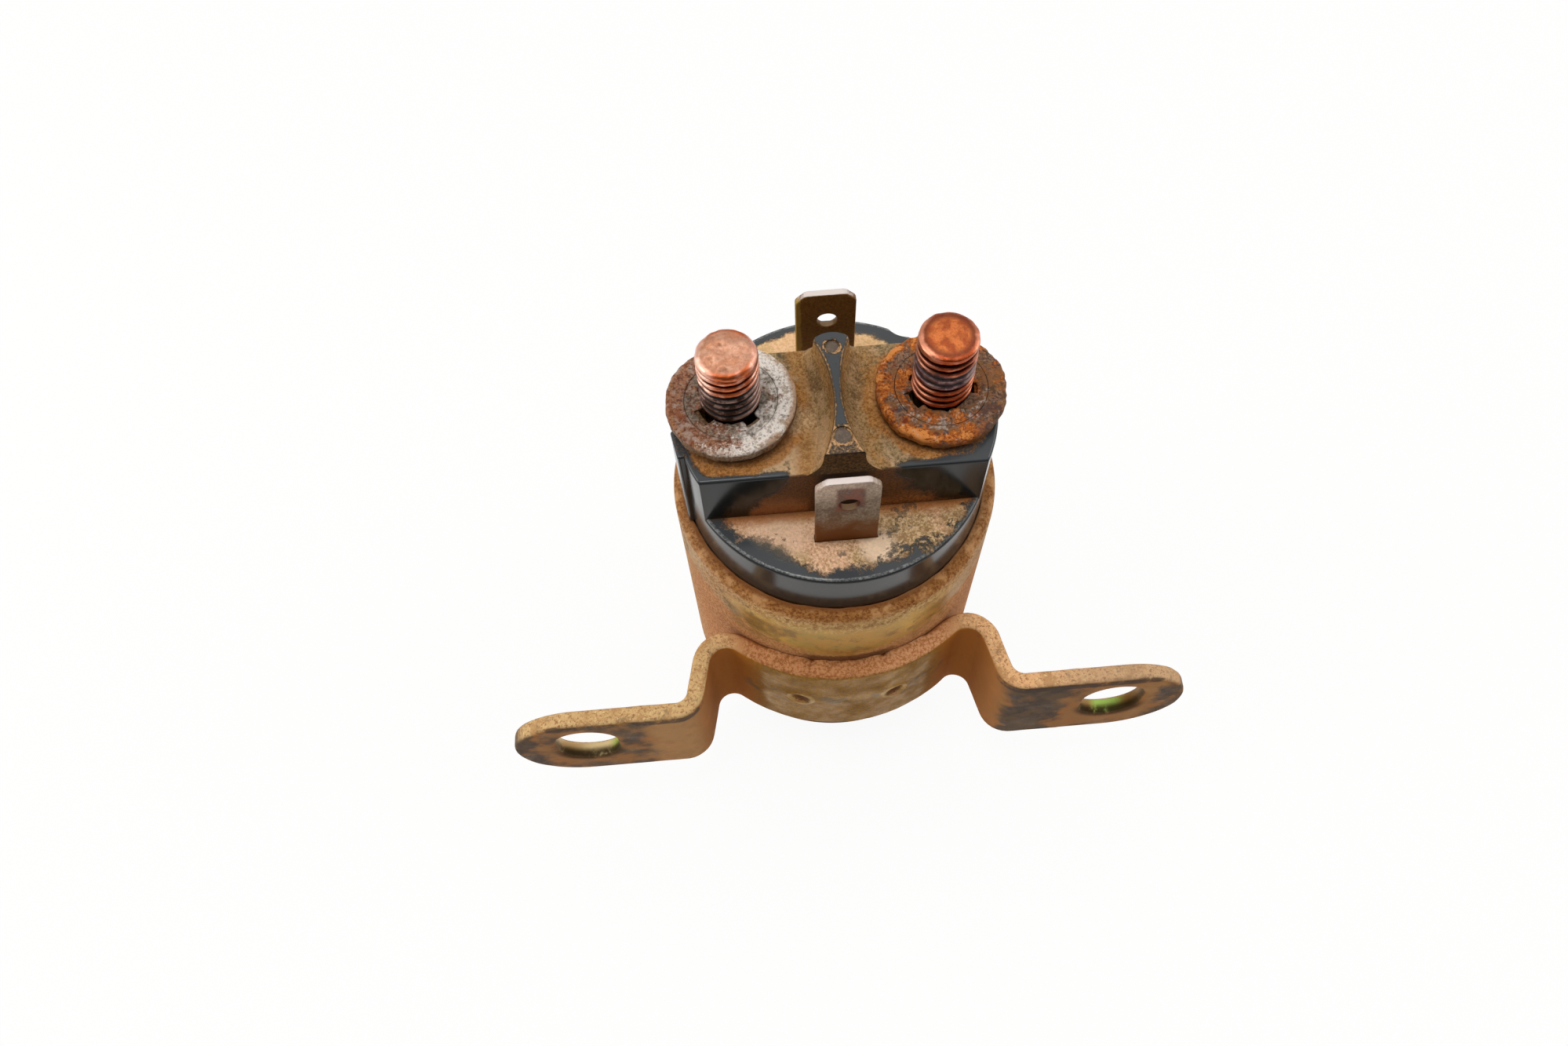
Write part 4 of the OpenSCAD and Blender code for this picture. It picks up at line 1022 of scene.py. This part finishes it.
def orange_rust():
    r = Recipe("orange rusted steel")
    ragged = r.noise(1.9, 9, 0.7, seed=4)
    speckle = r.noise(0.3, 6, 0.76, seed=8)
    flecks = r.noise(0.9, 8, 0.75, seed=21)
    away = r.from_axis(STUD_X, 0)
    front_rim = away.ramp(4.8, 5.9) * r.y.ramp(0.5, -4)
    left_rim = away.ramp(5.2, 6.2) * r.x.ramp(STUD_X + 2, STUD_X - 4)
    bright = 0.34 + front_rim * 0.22 + left_rim * 0.36 + ragged.swing(3.4) + speckle.swing(1)
    dull = speckle.tones("#4a382e", "#a07a60")
    dull.paint(r.noise(1.4, 8, 0.7, seed=23).ramp(0.46, 0.58, 0, 0.85), "#96643a")
    dull.paint(r.noise(1.7, 8, 0.7, seed=29).ramp(0.56, 0.64, 0, 0.8), "#4c484b")
    color = r.mix(bright.ramp(0.38, 0.6), dull, speckle.tones("#8e3e0c", "#cb742e"))
    color.paint((bright + flecks.swing(0.8)).ramp(0.68, 0.92), "#e5924a")
    color.paint(r.noise(1.1, 8, 0.7, seed=51).ramp(0.56, 0.64, 0, 0.8),
        r.mix(r.x.ramp(8, 11), "#742810", "#54402e"))
    corner = r.x.ramp(STUD_X + 2, STUD_X + 4) * r.y.ramp(-1, -3) * ragged.ramp(0.4, 0.54)
    color.paint(corner * 0.8, "#43403f")
    flakes = (flecks + away.window(3.4, 5.4, 0.5) * r.y.ramp(1, -2) * 0.07).ramp(0.59, 0.65)
    color.paint(flakes * 0.7, speckle.tones("#9a8c84", "#d8cabc"))
    # Painted shade: near black deep in the corners, round the lock ring and the stud.
    color.paint(r.corner(0.5).ramp(0.2, 0.75, 0.75, 0), "#24140a")
    color.paint(r.z.ramp(51.9, 51.5, 0, 0.6), "#6e3f0e")
    relief = r.bump(ragged * 0.6 + speckle * 0.9, 0.28)
    return r.done(color, speckle.ramp(0.3, 0.7, 0.5, 0.85), relief, gloss=0.2)


def seal_rubber():
    r = Recipe("dusty dark rubber")
    speckle = r.noise(0.6, 6, 0.75, seed=5)
    color = r.mix(speckle.ramp(0.42, 0.66), "#1b120b", "#54371a")
    return r.done(color, speckle.ramp(0.3, 0.7, 0.5, 0.85), r.bump(speckle, 0.1))


zinc, rust, rubber = corroded_zinc(), orange_rust(), seal_rubber()
print("made", zinc.name + ",", rust.name, "and", rubber.name)

# %% The washers
def dense(path, gap=0.3):
    """Adds points to a closed path where its runs are longer than gap, so that crust has points to move."""
    out = []
    for (a, b), (c, d) in zip(path, path[1:] + path[:1]):
        parts = max(1, round(hypot(c - a, d - b) / gap))
        out += [(a + (c - a) * i / parts, b + (d - b) * i / parts) for i in range(parts)]
    return out


WASHER_R, WASHER_HOLE, WASHER_T, SEAT_R, SEAT_DEPTH = 6.5, 3.3, 1.4, 4.6, 0.45
TOOTH_R, TOOTH_LONG, SOFT_DEGREES = 2.78, 1.5, 3.5


def flat_washer(name, side, low, finish, nodes, swell, seed):
    """A thick washer, with a shallow seat for the lock ring. Rust has swollen its rim."""
    at = (side * STUD_X, 0.0)
    high, seat = low + WASHER_T, low + WASHER_T - SEAT_DEPTH
    bm = lathe(dense(rounded([(WASHER_HOLE, low, 0.1), (WASHER_R, low, 0.28), (WASHER_R, high, 0.28),
        (SEAT_R + 0.05, high, 0.1), (SEAT_R, high - 0.3), (SEAT_R, seat), (WASHER_HOLE, seat, 0.08)], 3)),
        at, 200)
    for depth, grain, more in ((swell, 1.3, 0), (swell * 0.5, 0.5, 3)):
        crust(bm, depth, grain, seed + more, lambda co: hypot(co.x - at[0], co.y) > SEAT_R + 0.2)
    finish_piece(shape(name, bm), finish, nodes, sharp=70)


def lock_ring(name, side, low, finish, nodes, teeth, seed):
    """A toothed ring. teeth gives each gap's direction in degrees, its width and its depth."""
    at = (side * STUD_X, 0.0)
    bm = lathe(dense(rounded([(TOOTH_R, low + 0.02, 0.06), (SEAT_R, low + 0.02), (SEAT_R, low + 0.42),
        (TOOTH_R, low + 0.38, 0.1)], 3), 0.18), at, 240)
    for vert in bm.verts:
        out = Vector((vert.co.x - at[0], vert.co.y))
        near = max(0.0, 1 - (out.length - TOOTH_R) / TOOTH_LONG)
        for direction, width, depth in teeth:
            off = (degrees(atan2(out.y, out.x)) - direction + 180) % 360 - 180
            gap = max(0.0, min(1.0, (width - abs(off)) / SOFT_DEGREES))
            vert.co += Vector((*(out.normalized() * (depth * gap * near)), 0.0))
        vert.co.z -= 0.1 * near
    crust(bm, 0.12, 0.7, seed, lambda co: hypot(co.x - at[0], co.y) < 4.4)
    finish_piece(shape(name, bm), finish, nodes, sharp=70)


def sealing_washer(name, side, high, nodes):
    middle_z = (BLOCK_Z + high) / 2
    bm = lathe(dense(rounded([(3.35, BLOCK_Z), (5.8, BLOCK_Z, 0.1), (5.95, middle_z, 0.3), (5.8, high, 0.1),
        (3.35, high)], 4)), (side * STUD_X, 0.0), 144)
    crust(bm, 0.04, 0.8, 6.0, lambda co: BLOCK_Z + 0.1 < co.z < high - 0.1)
    finish_piece(shape(name, bm), rubber, nodes, sharp=60)


LEFT_LOW, RIGHT_LOW = 51.65, 50.95  # where the flat washers lie on their sealing washers
sealing_washer("left_sealing_ring", -1, LEFT_LOW, ["left_sealing_washer"])
sealing_washer("right_sealing_ring", 1, RIGHT_LOW, ["right_sealing_washer"])
flat_washer("white_washer", -1, LEFT_LOW, zinc, ["left_flat_washer"], 0.1, 2.0)
flat_washer("rusty_washer", 1, RIGHT_LOW, rust, ["right_flat_washer"], 0.15, 5.0)
LEFT_GAPS = [(211, 19, 1.0), (306, 15, 0.9), (255, 5, 0.12), (30, 9, 0.3), (90, 12, 0.6), (150, 12, 0.8)]
RIGHT_GAPS = [(204, 20, 1.0), (352, 14, 0.8), (274, 5, 0.12), (24, 9, 0.3), (94, 12, 0.6), (154, 10, 0.5)]
lock_ring("white_lock_ring", -1, 52.55, zinc, ["left_lock_ring"], LEFT_GAPS, 3.0)
lock_ring("rusty_lock_ring", 1, 51.9, rust, ["right_lock_ring"], RIGHT_GAPS, 4.0)

# %% [markdown]
# ## Spade blades
# The two coil terminals are stamped from tinned brass strip. The press rounded
# the edges, chamfered the top corners, punched a small hole and coined a shallow
# pocket round it. Grey tin is left on the edges, the upward top edge is partly
# a painted highlight, and brown dirt lies on the faces.

# %% Material: tinned brass
def tinned_brass():
    r = Recipe("tarnished tin on brass")
    ragged = r.noise(1.8, 8, 0.68, seed=6)
    fine = r.noise(0.28, 7, 0.82, seed=10)
    tin = fine.tones("#5c4a38", "#98846e", 0.12)
    tin.paint(ragged.ramp(0.46, 0.6, 0, 0.75), "#4c3522")
    # Lighter towards the top and the left of the blade: partly cleaner tin, partly painted light.
    clean_tin_and_light = r.z.ramp(50, 53.4, 0.1, 0.8) * r.x.ramp(2.8, -1.5, 0.6, 1)
    tin.paint(clean_tin_and_light, fine.tones("#a98f7a", "#dcc4b0", 0.12))
    pocket = (r.x + ragged.swing(0.8)).window(-1.4, 1.9, 0.5)
    pocket = pocket * (r.z + ragged.swing(1.2)).window(49.2, 53.9, 0.6)
    color = r.mix(pocket * 0.9, tin, r.mix(ragged.ramp(0.42, 0.56), fine.tones("#4c3024", "#70564a"),
        "#7c4636"))
    low = (49.4 - r.z) * 0.15 + ragged.swing(1.2)
    color.paint(low.ramp(0, 0.7), "#74420f")
    rear = r.y.ramp(5, 8)
    gilt = r.x.ramp(-2.2, -2.9, 0, 0.5) + ragged.swing(1.2)
    behind = r.mix(gilt.ramp(0.2, 0.5), fine.tones("#5f3a10", "#7c5720"), "#9a7a34")
    color.paint(rear, behind)
    # The faces that look up, along the top edge, are painted pale: partly bare tin, partly a painted
    # highlight.
    edge = (r.up + fine.swing(0.5)).ramp(0.62, 0.85)
    color.paint(edge, r.mix(r.z.ramp(52.6, 53), "#9a7c5c", "#d8ccc6"))
    rough = 0.3 + ragged * 0.2 + fine * 0.16
    return r.done(color, rough, r.bump(fine * 0.5 + ragged * 0.4, 0.08), r.blend(rear, 0.45, 0.1), 0.3)


tin = tinned_brass()
print("made", tin.name)

# %% The blades
BLADE_LOW, FOOT_LOW, FOOT_HALF, CORNER, CORNER_R = 38.2, 38.8, 3.975, 1.1, 0.7
PUNCH_R, PUNCH_X, PUNCH_DOWN = 1.05, 0.15, 4.2


def blade(name, y, top, node):
    """A blade with a wider foot under the cap's roof. Its outline is one side and its mirror image."""
    half = BLADE_W / 2
    side = [(half, BLADE_LOW), (half, FOOT_LOW), (FOOT_HALF, FOOT_LOW), (FOOT_HALF, ROOF_Z), (half, ROOF_Z),
        (half, top - CORNER, CORNER_R), (half - CORNER, top, CORNER_R)]
    outline = rounded([(-half, BLADE_LOW)] + side + [(-x, *rest) for x, *rest in reversed(side[1:])], 3)
    hole = circle(PUNCH_R, (PUNCH_X, top - PUNCH_DOWN), 40)[::-1]
    bm = sheet(outline, [hole], BLADE_T, 0.17)
    for vert in bm.verts:
        x, z, depth = vert.co
        vert.co = (x, y + BLADE_T / 2 - depth, z)
    finish_piece(shape(name, bm), tin, [node], sharp=50)


blade("front_spade", -BLADE_Y, 54.55, "front_blade")
blade("rear_spade", BLADE_Y, 54.3, "rear_blade")

# %% [markdown]
# ## The parts inside
# The coil, the plunger and the contacts are exact solids already, so their CAD
# meshes stay and get finishes of their own: enamelled wire, bright brass,
# machined steel and rubber. They show only when the can is taken away. The two
# springs are the exception and are made in the next step.

# %% Materials for the inside
def inner_metal(name, light, dark, metallic, low, high, turn):
    """A metal with fine tool marks that run round the axis, and a little oil stain."""
    r = Recipe(name, metallic=metallic)
    marks = r.noise(0.35, 3, 0.6, stretch=turn, seed=2)
    stain = r.noise(4, 4, 0.6, seed=3)
    color = r.mix(marks.ramp(0.3, 0.7), light, dark)
    color.paint(stain.ramp(0.55, 0.75, 0, 0.4), dark)
    return r.done(color, marks.ramp(0.3, 0.7, low, high), r.bump(marks, 0.02))


def winding_wire():
    """Fine enamelled wire: each turn is a small ridge round the bobbin."""
    r = Recipe("enamelled copper wire", metallic=0.6)
    phase = r.math("FRACT", r.z * (1 / 0.42))
    ridge = r.math("SINE", phase * pi)
    tone = r.noise(2.4, 3, 0.6, stretch=(3, 3, 0.15), seed=5)
    color = tone.tones("#7a3a1c", "#b0602c", 0.15)
    # Painted shade: dark lines between the turns.
    color.paint(ridge.ramp(0, 0.5, 0.7, 0), "#2a1008")
    return r.done(color, 0.3, r.bump(ridge, 0.14))


def bobbin_nylon():
    r = Recipe("cream bobbin nylon")
    tone = r.noise(5, 3, 0.6, seed=6)
    fine = r.noise(0.5, 3, 0.6, seed=7)
    return r.done(r.mix(tone, "#cdbf9c", "#a8946a"), 0.5, r.bump(fine, 0.03))


wire, nylon = winding_wire(), bobbin_nylon()
steel = inner_metal("oiled steel", "#8f8f8c", "#6d6b67", 1.0, 0.3, 0.45, (4, 4, 0.3))
spring = inner_metal("spring steel wire", "#7d7f84", "#55565c", 1.0, 0.22, 0.4, (1, 1, 1))
brass = inner_metal("drawn brass tube", "#c9a45c", "#9c7a3a", 1.0, 0.22, 0.4, (4, 4, 0.3))
bridge_copper = inner_metal("bare copper", "#c98263", "#9c583d", 1.0, 0.3, 0.5, (2, 2, 2))
insides = {
    "chromated_steel": can_steel, "black_moulding": moulding, "copper": bridge_copper,
    "corroded_zinc": zinc, "rusted_steel": rust, "tinned_brass": tin, "plain_steel": steel,
    "spring_steel": spring, "brass_tube": brass, "seal_rubber": rubber, "insulation": nylon}
for row in frame["record"]["subparts"]:
    cad = frame["nodes"][row["node"]]
    cad.data.materials.clear()
    cad.data.materials.append(wire if row["node"] == "coil_winding" else insides[row["material_slot"]])
print("finished", len(frame["nodes"]), "CAD nodes")

# %% [markdown]
# The return spring pushes the plunger back, and the contact spring presses the
# bridge on the studs. A real one is drawn wire wound on a rod, with its end
# turns closed, so here a round section is carried up a helix.

# %% The springs
def wire_height(turn, turns, wire, rise):
    """The height of the wire's middle at a turn: the end turns lie closed, the others share the rest."""
    closed = 1.15 * wire
    if turn < 1:
        return turn * closed
    if turn > turns - 1:
        return rise - (turns - turn) * closed
    return closed + (turn - 1) * (rise - 2 * closed) / (turns - 2)


def coil_spring(name, node, body, wire, radius, turns, low, high, steps=36, sides=14):
    """A compression spring between two seats."""
    seat_gap = 0.05
    rise = high - low - wire - 2 * seat_gap
    rings = []
    for i in range(turns * steps + 1):
        around = 2 * pi * i / steps
        middle = low + wire / 2 + seat_gap + wire_height(i / steps, turns, wire, rise)
        ring = []
        for side in range(sides):
            out, up = (wire / 2 * part(2 * pi * side / sides) for part in (cos, sin))
            ring.append(((radius + out) * cos(around), (radius + out) * sin(around), middle + up))
        rings.append(ring)
    obj = finish_piece(shape(name, skin(rings)), spring, [node], body=body)
    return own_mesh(obj)


coil_spring("return_coil", "return_spring", "housing", wire=0.6, radius=2.45, turns=6, low=15.7, high=24.05)
coil_spring("contact_coil", "contact_spring", "plunger_assembly", wire=0.5, radius=2.0, turns=3, low=31.0,
    high=33.85)

# %% [markdown]
# ## Floor, light and background
# The photograph shows the part on pure white. A pale floor catches the light,
# and for the camera it is mostly plain white, so the part keeps only a faint
# shadow. The light is a pale room with a soft lamp at each side. A darker front
# gives the copper and the glossy cap something dark to mirror.

# %% Floor
def white_floor():
    material = bpy.data.materials.new("white paper")
    material.use_nodes = True
    tree = material.node_tree
    paper = tree.nodes["Principled BSDF"]
    fibre = add_node(tree, "ShaderNodeTexNoise", {"Scale": 900})
    tone = add_node(tree, "ShaderNodeMix", {"Factor": fibre.outputs["Fac"], "A": "#eae7e2", "B": "#efece7"},
        data_type="RGBA")
    feed(paper, {"Base Color": tone.outputs["Result"], "Roughness": 0.9})
    glow = add_node(tree, "ShaderNodeEmission", {"Strength": 1})
    white_share = 0.93
    rays = add_node(tree, "ShaderNodeLightPath").outputs
    seen = rays["Is Camera Ray"]
    for kind in ("Is Glossy Ray", "Is Transmission Ray"):
        seen = add_node(tree, "ShaderNodeMath", {0: seen, 1: rays[kind]}, operation="MAXIMUM").outputs[0]
    share = add_node(tree, "ShaderNodeMath", {0: seen, 1: white_share}, operation="MULTIPLY")
    surface = add_node(tree, "ShaderNodeMixShader",
        {0: share.outputs[0], 1: paper.outputs[0], 2: glow.outputs[0]})
    feed(tree.nodes["Material Output"], {"Surface": surface.outputs[0]})
    return material


FLOOR_HALF, FLOOR_Z = 1.5, -0.00002  # in metres, a hair below the can's base
floor_mesh = bmesh.new()
bmesh.ops.create_grid(floor_mesh, x_segments=8, y_segments=8, size=FLOOR_HALF)
for vert in floor_mesh.verts:
    vert.co.z = FLOOR_Z
mesh = bpy.data.meshes.new("paper_floor")
floor_mesh.to_mesh(mesh)
floor_mesh.free()
floor = bpy.data.objects.new("paper_floor", mesh)
floor.data.materials.append(white_floor())
bpy.context.scene.collection.objects.link(floor)

# %% Lamps and world
def soft_lamp(name, place, aim, size, power):
    lamp = bpy.data.lights.new(name, "AREA")
    lamp.shape, lamp.size, lamp.energy = "DISK", size, power
    holder = bpy.data.objects.new(name, lamp)
    holder.location = place
    holder.rotation_euler = (Vector(aim) - Vector(place)).to_track_quat("-Z", "Y").to_euler()
    bpy.context.scene.collection.objects.link(holder)


PART_MIDDLE = (0, 0, 0.03)
soft_lamp("left lamp", (-0.5, 0.0, 0.22), PART_MIDDLE, size=0.3, power=0.9)
soft_lamp("right lamp", (0.5, 0.05, 0.26), PART_MIDDLE, size=0.3, power=0.7)
soft_lamp("top lamp", (-0.1, -0.02, 0.75), PART_MIDDLE, size=0.24, power=1.2)

world = bpy.data.worlds.new("pale room")
world.use_nodes = True
sky = world.node_tree
feed(sky.nodes["Background"], {"Color": (1, 1, 1, 1)})
toward = add_node(sky, "ShaderNodeTexCoord").outputs["Generated"]
parts = add_node(sky, "ShaderNodeSeparateXYZ", {0: toward})


def sky_ramp(source, low, high, to_low, to_high):
    return add_node(sky, "ShaderNodeMapRange", {0: source, 1: low, 2: high, 3: to_low, 4: to_high},
        interpolation_type="SMOOTHSTEP").outputs[0]


height = sky_ramp(parts.outputs[2], 0.1, 0.85, 0.4, 1.1)
front = sky_ramp(parts.outputs[1], -0.7, -0.1, 0.12, 1.0)
strength = add_node(sky, "ShaderNodeMath", {0: height, 1: front}, operation="MULTIPLY")
room = add_node(sky, "ShaderNodeBackground",
    {"Color": (1.0, 0.985, 0.965, 1.0), "Strength": strength.outputs[0]})
look = add_node(sky, "ShaderNodeLightPath")
join = add_node(sky, "ShaderNodeMixShader", {0: look.outputs["Is Camera Ray"], 1: room.outputs[0],
    2: sky.nodes["Background"].outputs[0]})
feed(sky.nodes["World Output"], {"Surface": join.outputs[0]})
bpy.context.scene.world = world
bpy.context.scene.view_settings.view_transform = "Standard"
